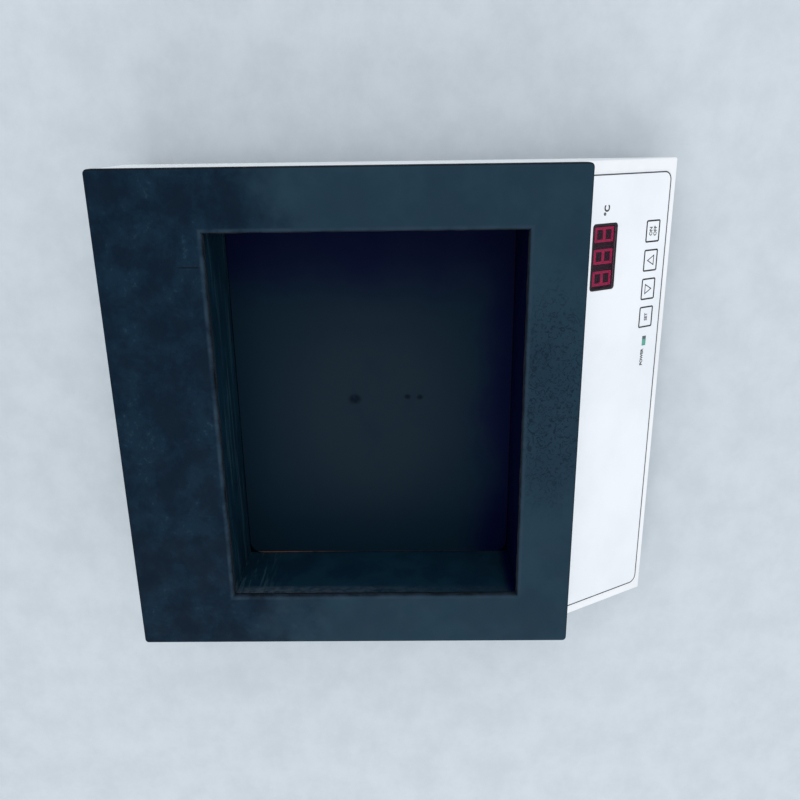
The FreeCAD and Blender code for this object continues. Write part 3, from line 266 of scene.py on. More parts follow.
@dataclass(frozen=True)
class BakedFrameCoat:
    """Polymer coating baked on the cast frame: matt, faintly pebbled, with cloudy wipe marks and scuffs."""

    base: str = "#19303f"
    faded: str = "#1d3645"
    # The rear border's painted shade, in two tones for its blotches.
    rear_shade_dark: str = "#001526"
    rear_shade_blotch: str = "#062234"
    fleck: str = "#26404f"
    scratched: str = "#020a12"
    handled: str = "#0f2637"
    crazed: str = "#0a1c2b"
    # The painted highlight on the rounded lip.
    lip_highlight: str = "#283a49"
    # The painted shade on the frame's rounded edge and side.
    edge_shade: str = "#06090e"
    patch_mm: float = 48.0
    blot_mm: float = 24.0
    fleck_mm: float = 4.5
    craze_mm: float = 4.2
    lip_highlight_mm: float = 9.0
    sheen_mm: float = 14.0
    wave_mm: float = 26.0
    pebble_mm: float = 1.1

    def build(self) -> Material:
        """Builds the coating with its stains and wear.

        Returns:
            The material.
        """
        made = Shading("baked_frame_coat")
        cloud = made.noise(self.patch_mm, 7.0, 0.62)
        colour = made.blend(made.spread(cloud, 0.38, 0.62), self.base, self.faded)
        # The rear border is painted darker in blotchy patches, a painted shade, and has pale flecks on it.
        blots = made.noise(self.blot_mm, 9.0, 0.72, distortion=0.15)
        rear = made.along("Y", 42, 100, shift=made.wander(110, 34.0, 6.0, 0.6))
        painted_rear_shade = made.blend(made.spread(blots, 0.4, 0.62), self.rear_shade_dark, self.rear_shade_blotch)
        colour = made.blend(rear, colour, painted_rear_shade)
        flecks = made.spread(made.noise(self.fleck_mm, 6.0, 0.75), 0.52, 0.7)
        flecks = made.times(flecks, made.spread(blots, 0.5, 0.62))
        colour = made.blend(made.times(rear, flecks, 0.6), colour, self.fleck)
        # One scratch runs across the rear border, near its right end.
        scratch = made.spot((96.5, 113.5, FRAME_TOP_Z), 0.5, 0.95, (1.4, 0.11, 1.0))
        colour = made.blend(made.times(scratch, 0.8), colour, self.scratched)
        # The front border's coat has crazed in its middle, where a hand rests.
        worn = made.spot((15.0, -92.0, FRAME_TOP_Z), 18.0, 52.0, (0.55, 1.6, 1.0))
        craze = made.spread(made.noise(self.craze_mm, 5.0, 0.75, distortion=2.2), 0.53, 0.58)
        craze = made.times(worn, craze)
        colour = made.blend(made.times(worn, 0.3), colour, self.handled)
        colour = made.blend(made.times(craze, 0.85), colour, self.crazed)
        # The frame's rounded edge and its side are painted darker, a painted shade.
        low = made.along("Z", FRAME_TOP_Z - 0.8, FRAME_TOP_Z - 0.12, 1.0, 0.0)
        colour = made.blend(made.times(low, 0.85), colour, self.edge_shade)
        # The rounded lip is painted lighter, unevenly, as a painted highlight.
        beyond_x = made.math("SUBTRACT", made.math("ABSOLUTE", made.axes["X"]), OPENING_HALF_X * MM)
        from_middle = made.math("SUBTRACT", made.axes["Y"], OPENING_CENTRE_Y * MM)
        beyond_y = made.math("SUBTRACT", made.math("ABSOLUTE", from_middle), OPENING_HALF_Y * MM)
        lip = made.spread(made.math("MAXIMUM", beyond_x, beyond_y), 1.4 * MM, 3.0 * MM, 1.0, 0.0)
        uneven = made.spread(made.noise(self.lip_highlight_mm, 4.0), 0.25, 0.7, 0.1, 0.8)
        colour = made.blend(made.times(lip, uneven), colour, self.lip_highlight)
        rough = made.spread(made.noise(self.sheen_mm, 5.0), 0.3, 0.7, 0.58, 0.72)
        made.set(Base_Color=colour, Roughness=rough, IOR=1.45, Specular_IOR_Level=0.12)
        made.bump(made.noise(self.wave_mm, 2.0), 0.2, 0.3)
        made.bump(made.noise(self.pebble_mm, 3.0, 0.6), 0.05, 0.45)
        made.bump(craze, 0.1, 0.7)
        return made.finish()


@dataclass(frozen=True)
class BakedTankCoat:
    """The same coating inside the tank: darker, with water lines and runs down the walls."""

    base: str = "#0f2b3b"
    run: str = "#2a4655"
    deep: str = "#0a2232"
    # The front wall's painted shade.
    shade_navy: str = "#01032a"
    scale: str = "#46535f"
    # The painted shade below the floor plate.
    under_plate_shade: str = "#010102"
    patch_mm: float = 22.0
    line_mm: float = 3.2
    drip_mm: float = 3.0
    lime_mm: float = 2.6
    grain_mm: float = 0.9

    def build(self) -> Material:
        """Builds the coating with its water lines, drips and lime.

        Returns:
            The material.
        """
        made = Shading("baked_tank_coat")
        cloud = made.noise(self.patch_mm, 5.0, 0.6)
        colour = made.blend(made.spread(cloud, 0.35, 0.65), self.deep, self.base)
        # Water lines ring the rear wall; drips have run down the left wall near the corner with it.
        rear = made.along("Y", 103, 106)
        lines = made.spread(made.noise(self.line_mm, 4.0, 0.6, (0.05, 0.05, 1.0), 0.4), 0.5, 0.66)
        left = made.along("X", -112, -109, 1.0, 0.0)
        corner = made.along("Y", 70, 100)
        drips = made.spread(made.noise(self.drip_mm, 5.0, 0.6, (1.0, 1.0, 0.1), 0.5), 0.5, 0.66)
        runs = made.math("MAXIMUM", made.times(rear, lines), made.times(left, corner, drips))
        colour = made.blend(made.times(runs, 0.9), colour, self.run)
        # Lime has dried as a ragged grey band along the top of the left wall.
        high = made.along("Z", 80, 85)
        ragged = made.spread(made.noise(self.lime_mm, 6.0, 0.75, (1.0, 0.6, 1.0)), 0.3, 0.66)
        lime = made.times(left, high, ragged, made.along("Y", -50, 90, 0.15, 0.7))
        colour = made.blend(lime, colour, self.scale)
        # The front wall is painted near-black navy, a painted shade.
        front = made.along("Y", -75, -68, 1.0, 0.0)
        colour = made.blend(made.times(front, 0.95), colour, self.shade_navy)
        # The walls and bottom below the floor plate's top are painted black, a painted shade in the gap under
        # the plate.
        under = made.along("Z", FLOOR_TOP_Z - 1.6, FLOOR_TOP_Z - 0.8, 1.0, 0.0)
        colour = made.blend(under, colour, self.under_plate_shade)
        rough = made.spread(runs, 0.0, 1.0, 0.5, 0.65)
        made.set(Base_Color=colour, Roughness=rough, IOR=1.45, Specular_IOR_Level=0.08)
        made.bump(runs, 0.08, 0.5)
        made.bump(made.noise(self.grain_mm), 0.04, 0.4)
        return made.finish()


@dataclass(frozen=True)
class BakedFloorCoat:
    """The loose floor plate: the same coating, greyed by use, with a few dried spots and a bare rim."""

    base: str = "#0a1f2d"
    greyed: str = "#172530"
    # The painted shade towards the right and the front.
    shade_navy: str = "#01062c"
    spot: str = "#010f1e"
    rim: str = "#8a5a34"
    patch_mm: float = 34.0
    ragged_mm: float = 2.2
    chip_mm: float = 11.0
    grain_mm: float = 1.0
    # The X, Y and radius of each dried spot.
    spots: tuple[Triple, ...] = ((-0.7, 27.4, 3.6), (0.6, -7.4, 1.9), (0.3, -15.6, 1.9))

    def build(self) -> Material:
        """Builds the coating with its greyed middle, spots and bare rim.

        Returns:
            The material.
        """
        made = Shading("baked_floor_coat")
        cloud = made.noise(self.patch_mm, 6.0, 0.6, distortion=0.4)
        middle = made.spot((-8.0, 18.0, FLOOR_TOP_Z), 30.0, 112.0, (1.0, 1.25, 1.0))
        grey = made.times(middle, made.spread(cloud, 0.15, 0.6, 0.45, 1.0))
        colour = made.blend(grey, self.base, self.greyed)
        # Towards the right and the front the coat is painted blue-black, a painted shade, behind a cloudy
        # border.
        blur = made.wander(40, 40.0, 4.0, 0.5)
        right = made.along("X", 50, 104, shift=blur)
        front = made.along("Y", -72, -40, 1.0, 0.0, blur)
        colour = made.blend(made.times(made.math("MAXIMUM", right, front), 0.9), colour, self.shade_navy)
        ragged = made.spread(made.noise(self.ragged_mm, 4.0, 0.7), 0.2, 0.5)
        for x, y, radius in self.spots:
            mark = made.spot((x, y, FLOOR_TOP_Z), radius * 0.35, radius * 1.3, (1.0, 0.8, 1.0))
            colour = made.blend(made.times(mark, ragged), colour, self.spot)
        # The plate's rim has lost its coat and shows a copper-brown line along the left edge.
        edge = made.along("X", -114.2, -113.8, 1.0, 0.0)
        broken = made.spread(made.noise(self.chip_mm, 5.0, 0.6), 0.3, 0.55)
        bare = made.times(edge, made.along("Y", 30, 84, 0.1, 1.0), broken, 0.6)
        colour = made.blend(bare, colour, self.rim)
        rough = made.spread(cloud, 0.3, 0.7, 0.52, 0.68)
        made.set(Base_Color=colour, Roughness=rough, IOR=1.45, Specular_IOR_Level=0.06)
        made.bump(made.noise(self.grain_mm), 0.04, 0.4)
        return made.finish()


@dataclass(frozen=True)
class PowderCoat:
    """Powder coat on folded sheet steel: even, with a fine orange-peel that only catches the light."""

    name: str
    base: str
    soiled: str
    roughness: float = 0.42
    smudge_mm: float = 60.0
    sheen_mm: float = 8.0
    peel_mm: float = 1.6

    def build(self) -> Material:
        """Builds the coat with its faint smudges.

        Returns:
            The material.
        """
        made = Shading(self.name)
        smudge = made.times(made.spread(made.noise(self.smudge_mm, 6.0, 0.6), 0.45, 0.75), 0.6)
        rough = made.spread(made.noise(self.sheen_mm), 0.3, 0.7, self.roughness, self.roughness + 0.1)
        made.set(Base_Color=made.blend(smudge, self.base, self.soiled), Roughness=rough)
        made.set(IOR=1.5, Specular_IOR_Level=0.4)
        made.bump(made.noise(self.peel_mm, 2.0), 0.03, 0.3)
        return made.finish()


@dataclass(frozen=True)
class PrintedFoil:
    """Polyester membrane foil printed on its back: satin and cool white, a little greyer in patches."""

    base: str = "#eff3f8"
    greyed: str = "#e8edf2"
    patch_mm: float = 45.0
    sheen_mm: float = 5.0
    grain_mm: float = 0.5

    def build(self) -> Material:
        """Builds the foil's fine-grained face.

        Returns:
            The material.
        """
        made = Shading("printed_foil")
        tone = made.spread(made.noise(self.patch_mm, 4.0), 0.35, 0.7)
        rough = made.spread(made.noise(self.sheen_mm, 4.0), 0.3, 0.7, 0.34, 0.42)
        made.set(Base_Color=made.blend(tone, self.base, self.greyed), Roughness=rough)
        made.set(IOR=1.5, Specular_IOR_Level=0.4)
        made.bump(made.noise(self.grain_mm, 2.0), 0.01, 0.3)
        return made.finish()


@dataclass(frozen=True)
class Moulded:
    """An injection-moulded or rubber piece with a spark-eroded grain."""

    name: str
    base: str
    worn: str
    roughness: float = 0.45
    grain_mm: float = 0.5
    grain_deep: float = 0.03
    specular: float = 0.5
    patch_mm: float = 12.0

    def build(self) -> Material:
        """Builds the grained surface, a little rougher where it is worn.

        Returns:
            The material.
        """
        made = Shading(self.name)
        tone = made.spread(made.noise(self.patch_mm, 5.0, 0.6), 0.35, 0.7)
        rough = made.spread(tone, 0.0, 1.0, self.roughness, self.roughness + 0.12)
        made.set(Base_Color=made.blend(tone, self.base, self.worn), Roughness=rough)
        made.set(IOR=1.5, Specular_IOR_Level=self.specular)
        made.bump(made.noise(self.grain_mm, 2.0), self.grain_deep, 0.5)
        return made.finish()


@dataclass(frozen=True)
class Metal:
    """A bare or plated metal, drawn, cast or turned, with hairlines along one axis."""

    name: str
    base: str
    dulled: str
    roughness: float = 0.32
    hairline: Triple = (1.0, 1.0, 0.06)
    line_mm: float = 0.5
    patch_mm: float = 7.0

    def build(self) -> Material:
        """Builds the metal with its hairlines and dull patches.

        Returns:
            The material.
        """
        made = Shading(self.name)
        lines = made.noise(self.line_mm, 3.0, 0.6, self.hairline)
        tone = made.spread(made.noise(self.patch_mm, 5.0), 0.35, 0.7)
        rough = made.spread(lines, 0.2, 0.8, self.roughness, self.roughness + 0.16)
        made.set(Base_Color=made.blend(tone, self.base, self.dulled), Roughness=rough, Metallic=1.0)
        made.bump(lines, 0.01, 0.4)
        return made.finish()


@dataclass(frozen=True)
class Woven:
    """A felt or cloth-reinforced sheet, with crossed threads at their real spacing."""

    name: str
    base: str
    shade: str
    thread_mm: float

    def build(self) -> Material:
        """Builds the crossed threads.

        Returns:
            The material.
        """
        made = Shading(self.name)
        warp = made.noise(self.thread_mm, 2.0, stretch=(1.0, 0.2, 1.0))
        weft = made.noise(self.thread_mm, 2.0, stretch=(0.2, 1.0, 1.0))
        cloth = made.times(warp, weft)
        colour = made.blend(made.spread(cloth, 0.12, 0.4), self.shade, self.base)
        made.set(Base_Color=colour, Roughness=0.85, IOR=1.45)
        made.bump(cloth, self.thread_mm * 0.2, 0.6)
        return made.finish()


@dataclass(frozen=True)
class FilterAcrylic:
    """Dark red cast acrylic over the digits: glossy, and clear enough to show lit bars."""

    tint: str = "#2a0620"
    wave_mm: float = 14.0

    def build(self) -> Material:
        """Builds the tinted pane.

        Returns:
            The material.
        """
        made = Shading("filter_acrylic")
        made.set(Base_Color=self.tint, Roughness=0.08, IOR=1.49, Specular_IOR_Level=0.35, Alpha=0.42)
        made.bump(made.noise(self.wave_mm, 2.0), 0.01, 0.2)
        return made.finish()


@dataclass(frozen=True)
class LitFigures:
    """Cast resin bars over light chips: a dull crimson glow that goes purple where a chip is weak."""

    body: str = "#5a0a24"
    glow: str = "#f0246a"
    weak: str = "#b02c6c"
    chip_mm: float = 2.6

    def build(self) -> Material:
        """Builds the uneven glow.

        Returns:
            The material.
        """
        made = Shading("crimson_figures")
        glow = made.blend(made.spread(made.noise(self.chip_mm), 0.4, 0.8), self.glow, self.weak)
        made.set(Base_Color=self.body, Roughness=0.4, IOR=1.5, Emission_Color=glow, Emission_Strength=0.85)
        return made.finish()


@dataclass(frozen=True)
class PilotLamp:
    """Rectangular cast resin lamp: half of it shows the dark reflector, half a dull green glow."""

    shade: str = "#56606a"
    glow: str = "#62ab99"
    cloudy: str = "#3c6a60"
    turn_x: float = 38.4
    grain_mm: float = 0.9

    def build(self) -> Material:
        """Builds the two halves with a cloudy grain.

        Returns:
            The material.
        """
        made = Shading("green_pilot_lamp")
        half = made.along("X", self.turn_x - 0.5, self.turn_x + 0.5)
        grain = made.times(made.spread(made.noise(self.grain_mm), 0.3, 0.7), 0.3)
        colour = made.blend(grain, made.blend(half, self.glow, self.shade), self.cloudy)
        made.set(Base_Color=colour, Roughness=0.35, IOR=1.5, Specular_IOR_Level=0.3)
        return made.finish()


@dataclass(frozen=True)
class Laminate:
    """Glass-fibre board under green solder resist, with lighter tracks showing through."""

    base: str = "#1d5a2e"
    track: str = "#2f7a3c"
    block_mm: float = 9.0
    sheen_mm: float = 0.8

    def build(self) -> Material:
        """Builds the resist with raised tracks between its blocks.

        Returns:
            The material.
        """
        made = Shading("board_laminate")
        inputs = {"Vector": made.place, "Scale": 1 / (self.block_mm * MM), "Mortar Size": 0.06}
        tracks = add_node(made.tree, "ShaderNodeTexBrick", inputs=inputs).outputs["Fac"]
        rough = made.spread(made.noise(self.sheen_mm, 2.0), 0.3, 0.7, 0.3, 0.4)
        made.set(Base_Color=made.blend(tracks, self.base, self.track), Roughness=rough, IOR=1.5)
        made.bump(tracks, 0.03, 0.6)
        return made.finish()


@dataclass(frozen=True)
class Ink:
    """Screen-printed ink: opaque and satin, a hair above the foil."""

    name: str
    base: str
    thin: str
    patch_mm: float = 1.2

    def build(self) -> Material:
        """Builds the ink, thinner in small patches.

        Returns:
            The material.
        """
        made = Shading(self.name)
        tone = made.spread(made.noise(self.patch_mm), 0.35, 0.7)
        made.set(Base_Color=made.blend(tone, self.base, self.thin), Roughness=0.5, IOR=1.5)
        made.set(Specular_IOR_Level=0.3)
        return made.finish()


def deselect_all() -> None:
    """Leaves nothing selected, so that the next operator acts on the new piece alone."""
    for thing in list(bpy.context.selected_objects):
        thing.select_set(False)


class Piece:
    """One new mesh modelled in edit mode, in millimetres about the origin, and then set in its place."""

    def __init__(self, name: str) -> None:
        """Takes the object that an operator has just added.

        Args:
            name: The piece's name.
        """
        self.thing = bpy.context.active_object
        self.thing.name = name
        self.thing.data.name = name

    @classmethod
    def plate(cls, name: str, wide: float, high: float, x: float = 0.0, y: float = 0.0) -> Piece:
        """Starts from a flat rectangle.

        Args:
            name: The piece's name.
            wide: Its size along X.
            high: Its size along Y.
            x: The middle's X.
            y: The middle's Y.

        Returns:
            The piece, in object mode.
        """
        deselect_all()
        bpy.ops.mesh.primitive_plane_add(size=1, location=(x, y, 0))
        piece = cls(name)
        bpy.ops.transform.resize(value=(wide, high, 1), center_override=(x, y, 0))
        bpy.ops.object.transform_apply()
        return piece

    @classmethod
    def triangle(cls, name: str, radius: float, x: float, y: float, way: Direction) -> Piece:
        """Starts from a flat triangle about a point.

        Args:
            name: The piece's name.
            radius: The distance of its corners from the middle.
            x: The middle's X.
            y: The middle's Y.
            way: Where it points.

        Returns:
            The piece, in object mode.
        """
        deselect_all()
        turn = 0.0 if way is Direction.UP else math.pi
        bpy.ops.mesh.primitive_circle_add(vertices=3, radius=radius, fill_type="NGON", location=(x, y, 0),
                                          rotation=(0, 0, turn))
        piece = cls(name)
        bpy.ops.object.transform_apply()
        return piece

    def take(self) -> None:
        """Makes this piece the only one that the next operator acts on."""
        deselect_all()
        self.thing.select_set(True)
        bpy.context.view_layer.objects.active = self.thing

    def edit(self, steps: Callable[[], None], kind: str = "VERT") -> Piece:
        """Runs operators in edit mode with everything selected.

        Args:
            steps: The operators to run.
            kind: What is selected: VERT, EDGE or FACE.

        Returns:
            This piece.
        """
        self.take()
        bpy.ops.object.mode_set(mode="EDIT")
        bpy.ops.mesh.select_mode(type=kind)
        bpy.ops.mesh.select_all(action="SELECT")
        steps()
        bpy.ops.object.mode_set(mode="OBJECT")
        return self

    def pick(self, parts: str, wanted: Callable[[object], bool]) -> None:
        """Selects, from edit mode, only the faces or the edges that a test picks.

        Args:
            parts: The mesh's list that they are in, polygons or edges.
            wanted: The test on one of them.
        """
        bpy.ops.mesh.select_all(action="DESELECT")
        bpy.ops.object.mode_set(mode="OBJECT")
        for part in getattr(self.thing.data, parts):
            part.select = wanted(part)
        bpy.ops.object.mode_set(mode="EDIT")

    def round_corners(self, radius: float, segments: int = 6) -> Piece:
        """Rounds the corners of a flat face."""
        return self.edit(lambda: bpy.ops.mesh.bevel(offset=radius, segments=segments, affect="VERTICES"))

    def hollow(self, line: float) -> Piece:
        """Turns a flat face into a ring.

        Args:
            line: The width of the ring's line.

        Returns:
            This piece.
        """
        def open_middle() -> None:
            """Insets the face and deletes what is left in the middle."""
            bpy.ops.mesh.inset(thickness=line, use_even_offset=True)
            bpy.ops.mesh.delete(type="FACE")

        return self.edit(open_middle, "FACE")

    def raise_by(self, high: float) -> Piece:
        """Extrudes a flat shape along Z into a closed solid.

        Args:
            high: The solid's height.

        Returns:
            This piece.
        """
        def extrude() -> None:
            """Pulls every face up and turns all faces outward."""
            bpy.ops.mesh.extrude_region_move(TRANSFORM_OT_translate={"value": (0, 0, high)})
            bpy.ops.mesh.select_all(action="SELECT")
            bpy.ops.mesh.normals_make_consistent(inside=False)

        return self.edit(extrude, "FACE")

    def ease_edges(self, radius: float) -> Piece:
        """Bevels every edge where the faces turn by more than 40 degrees.

        Args:
            radius: The bevel's width.

        Returns:
            This piece.
        """
        ease = self.thing.modifiers.new("ease", "BEVEL")
        ease.width = radius
        ease.segments = 2
        ease.limit_method = "ANGLE"
        ease.angle_limit = math.radians(40)
        self.take()
        bpy.ops.object.modifier_apply(modifier=ease.name)
        return self

    def settle(self, place: Matrix, finish: Material, body: str = "base",
               slot: str | None = None) -> bpy.types.Object:
        """Sets the piece in the model's frame, dresses it and makes it ride on a body.

        Args:
            place: The millimetre frame that it was drawn in, as a matrix in metres.
            finish: Its material.
            body: The CAD body that it moves with.
            slot: The record's material slot, if it has one; it is not used.

        Returns:
            The finished object.
        """
        self.take()
        self.thing.matrix_world = place @ Matrix.Diagonal((MM, MM, MM, 1))
        bpy.ops.object.transform_apply()
        self.thing.data.materials.clear()
        self.thing.data.materials.append(finish)
        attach(self.thing, body)
        LOG.info("piece %s: %d faces", self.thing.name, len(self.thing.data.polygons))
        return self.thing


@dataclass(frozen=True)
class Word:
    """A generic word printed on the foil: its capital height, middle, baseline and stroke in millimetres."""

    name: str
    letters: str
    high: float
    x: float
    y: float
    bold: float

    def cut(self, deep: float) -> Piece:
        """Cuts the word as thin solids.

        Args:
            deep: How thick the letters are.

        Returns:
            The letters as one mesh piece.
        """
        deselect_all()
        bpy.ops.object.text_add(location=(self.x, self.y, deep / 2))
        text = bpy.context.active_object.data
        capital_share = 0.73
        text.body = self.letters
        text.size = self.high / capital_share
        text.align_x = "CENTER"
        text.extrude = deep / 2
        text.offset = self.bold
        text.resolution_u = 3
        bpy.ops.object.convert(target="MESH")
        bpy.ops.object.transform_apply()
        return Piece(self.name)


def join(name: str, pieces: Iterable[Piece]) -> Piece:
    """Joins like pieces into one mesh.

    Args:
        name: The new piece's name.
        pieces: The pieces.

    Returns:
        The joined piece.
    """
    parts = [piece.thing for piece in pieces]
    deselect_all()
    for part in parts:
        part.select_set(True)
    bpy.context.view_layer.objects.active = parts[0]
    bpy.ops.object.join()
    return Piece(name)


@dataclass
class ControlPanel:
    """The foil's printed marks, the lit figures, the window and its mask, in millimetres on the slope."""

    ink_deep: float = 0.05
    key_line: float = 0.95
    key_wide: float = 13.6
    key_high: float = 11.6
    key_corner: float = 1.2
    arrow_radius: float = 3.9
    arrow_line: float = 0.55
    arrow_up: float = 0.9
    border_line: float = 0.78
    border_left: float = -142.7
    border_right: float = 142.1
    border_low: float = -69.8
    border_corner: float = 5.5
    border_end: float = -0.6
    figure_wide: float = 8.9
    figure_high: float = 14.8
    figure_side: float = 1.5
    figure_end: float = 1.8
    figure_waist: float = 2.2
    figure_pitch: float = 13.1
    figure_y: float = -20.0
    figure_deep: float = 0.6
    figure_sunk: float = 2.1
    pane_deep: float = 2.0
    pane_edge: float = 0.18
    mask_line: float = 1.15
    mask_inset: float = 0.05

    def slope(self, lift: float = 0.0) -> Matrix:
        """Gives the frame of the slope: local Y runs up it and local Z stands out of it.

        Args:
            lift: How far the frame's origin stands out of the slope in millimetres.

        Returns:
            The matrix, in metres.
        """
        tilt = Matrix.Rotation(math.radians(PANEL_TILT), 4, "X")
        bend = Matrix.Translation((0, SLOPE_TOP_Y * MM, SLOPE_TOP_Z * MM))
        return bend @ tilt @ Matrix.Translation((0, 0, lift * MM))

    def key_places(self) -> list[float]:
        """Returns the X of each key's middle, from left to right."""
        return [KEY_FIRST_X + KEY_PITCH * number for number in range(4)]

    def outline_key(self, x: float) -> Piece:
        """Prints the outline of the key at a place along the row."""
        ring = Piece.plate("key_ring", self.key_wide, self.key_high, x, KEY_ROW_Y)
        return ring.round_corners(self.key_corner).hollow(self.key_line).raise_by(self.ink_deep)

    def arrow(self, x: float, way: Direction) -> Piece:
        """Prints an open triangle that points up or down the slope."""
        triangle = Piece.triangle("arrow", self.arrow_radius, x, KEY_ROW_Y - self.arrow_up * way.value, way)
        return triangle.hollow(self.arrow_line).raise_by(self.ink_deep)

    def border(self) -> Piece:
        """Prints the dark line round the foil, which runs up under the frame on both sides.

        Returns:
            The line, as a thin solid.
        """
        tall = -self.border_low * 2
        wide = self.border_right - self.border_left
        middle = (self.border_left + self.border_right) / 2
        ring = Piece.plate("border", wide, tall, middle, 0).round_corners(self.border_corner, 8)
        ring.hollow(self.border_line)

        def trim() -> None:
            """Cuts the ring off where the frame covers the foil."""
            bpy.ops.mesh.bisect(plane_co=(0, self.border_end, 0), plane_no=(0, 1, 0), clear_outer=True)

        return ring.edit(trim).raise_by(self.ink_deep)

    def print_marks(self, ink: Material, grey_ink: Material) -> None:
        """Puts the border, key outlines, arrows and generic words on the foil.

        Args:
            ink: The ink of the keys, arrows and words.
            grey_ink: The ink of the border.
        """
        keys = self.key_places()
        words = (Word("word_set", "SET", 2.3, keys[0], KEY_ROW_Y - 1.1, 0.09),
                 Word("word_on", "ON", 2.5, keys[3], KEY_ROW_Y + 0.5, 0.08),
                 Word("word_off", "OFF", 2.5, keys[3], KEY_ROW_Y - 3.1, 0.08),
                 Word("word_power", "POWER", 2.3, 26.6, KEY_ROW_Y - 0.3, 0.1),
                 Word("word_celsius", "°C", 4.1, 121.4, -20.7, 0.2))
        marks = [self.outline_key(x) for x in keys]
        marks.append(self.arrow(keys[2], Direction.UP))
        marks.append(self.arrow(keys[1], Direction.DOWN))
        marks.extend(word.cut(self.ink_deep) for word in words)
        join("panel_print", marks).settle(self.slope(PANEL_SKIN), ink, slot="foil_print")
        self.border().settle(self.slope(PANEL_SKIN), grey_ink, slot="foil_print")

    def figure(self, x: float, y: float) -> Piece:
        """Makes one lit figure: a square ring with a bar across its waist.

        Args:
            x: Its middle's X.
            y: Its middle's Y.

        Returns:
            The figure, as a thin solid.
        """
        figure = Piece.plate("figure", self.figure_wide, self.figure_high, x, y)
        inner_x = self.figure_wide / 2 - self.figure_side
        inner_y = self.figure_high / 2 - self.figure_end
        waist = self.figure_waist / 2

        def slice_up() -> None:
            """Cuts the face along the inner edge of every bar."""
            for cut in (-inner_x, inner_x):
                bpy.ops.mesh.select_all(action="SELECT")
                bpy.ops.mesh.bisect(plane_co=(x + cut, 0, 0), plane_no=(1, 0, 0))
            for cut in (-inner_y, -waist, waist, inner_y):
                bpy.ops.mesh.select_all(action="SELECT")
                bpy.ops.mesh.bisect(plane_co=(0, y + cut, 0), plane_no=(0, 1, 0))

        def in_hole(face: bpy.types.MeshPolygon) -> bool:
            """Tells whether a face lies between the bars."""
            return abs(face.center.x - x) < inner_x and waist < abs(face.center.y - y) < inner_y

        def open_holes() -> None:
            """Deletes the two faces between the bars."""
            figure.pick("polygons", in_hole)
            bpy.ops.mesh.delete(type="FACE")

        return figure.edit(slice_up).edit(open_holes, "FACE").raise_by(self.figure_deep)

    def light_digits(self, resin: Material) -> None:
        """Sets the three lit figures on the digit blocks, in place of the CAD's separate bars.

        Args:
            resin: The glowing resin.
        """
        figures = [self.figure(WINDOW_X + self.figure_pitch * place, self.figure_y) for place in (-1, 0, 1)]
        lit = join("lit_figures", figures).settle(self.slope(-self.figure_sunk), resin, slot="digit_glow")
        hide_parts("digit_bars")

    def glaze(self, acrylic: Material, mask_ink: Material) -> None:
        """Makes the window as a bevelled pane, with a black mask printed round its edge.

        Args:
            acrylic: The pane's material.
            mask_ink: The mask's ink.
        """
        pane = Piece.plate("window_pane", WINDOW_WIDE, WINDOW_HIGH, WINDOW_X, WINDOW_Y)
        pane.round_corners(WINDOW_CORNER).raise_by(self.pane_deep).ease_edges(self.pane_edge)
        shown = pane.settle(self.slope(PANEL_SKIN - self.pane_deep), acrylic, slot="window_red")
        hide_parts("display_window")
        wide = WINDOW_WIDE - 2 * self.mask_inset
        high = WINDOW_HIGH - 2 * self.mask_inset
        mask = Piece.plate("window_mask", wide, high, WINDOW_X, WINDOW_Y).round_corners(WINDOW_CORNER)
        mask.hollow(self.mask_line).raise_by(self.ink_deep)
        mask.settle(self.slope(PANEL_SKIN), mask_ink, slot="window_red")


@dataclass
class TankSeam:
    """The squeezed-out sealant between the frame and the tank, seen as a broken dark line under the lip."""

    steps: int = 180
    long_side: float = 20.0
    overlap: float = 0.35
    line: float = 0.7
    deep: float = 0.75
    top_z: float = 91.05
    lump: float = 9.0
    swing: float = 0.8

    def build(self, finish: Material) -> None:
        """Makes the bead as a thin ring whose inner edge wanders in and out.

        Args:
            finish: The sealant.
        """
        wide = (OPENING_HALF_X + self.overlap) * 2
        high = (OPENING_HALF_Y + self.overlap) * 2
        ring = Piece.plate("seam_bead", wide, high, 0, OPENING_CENTRE_Y).hollow(self.line).raise_by(self.deep)

        def is_long(edge: bpy.types.MeshEdge) -> bool:
            """Tells whether an edge runs along a side of the ring."""
            start, end = (ring.thing.data.vertices[number].co for number in edge.vertices)
            return (start - end).length > self.long_side

        def divide_sides() -> None:
            """Cuts the long edges into short steps."""
            ring.pick("edges", is_long)
            bpy.ops.mesh.subdivide(number_cuts=self.steps)

        ring.edit(divide_sides, "EDGE")
        self.wander(ring)
        ring.settle(Matrix.Translation((0, 0, (self.top_z - self.deep) * MM)), finish, slot="seal_rubber")

    def wander(self, ring: Piece) -> None:
        """Moves the inner edge in and out by a cloud pattern.

        Args:
            ring: The bead.
        """
        cloud = bpy.data.textures.new("bead_cloud", "CLOUDS")
        cloud.noise_scale = self.lump
        cloud.noise_depth = 4
        inner = ring.thing.vertex_groups.new(name="inner")
        for vertex in ring.thing.data.vertices:
            within_x = abs(vertex.co.x) < OPENING_HALF_X - 0.1
            within_y = abs(vertex.co.y - OPENING_CENTRE_Y) < OPENING_HALF_Y - 0.1
            if within_x and within_y:
                inner.add([vertex.index], 1.0, "REPLACE")
        for axis in ("X", "Y"):
            move = ring.thing.modifiers.new("wander", "DISPLACE")
            move.texture = cloud
            move.direction = axis
            move.strength = self.swing
            move.mid_level = 0.5
            move.vertex_group = "inner"
            ring.take()
            bpy.ops.object.modifier_apply(modifier=move.name)
        bpy.data.textures.remove(cloud)


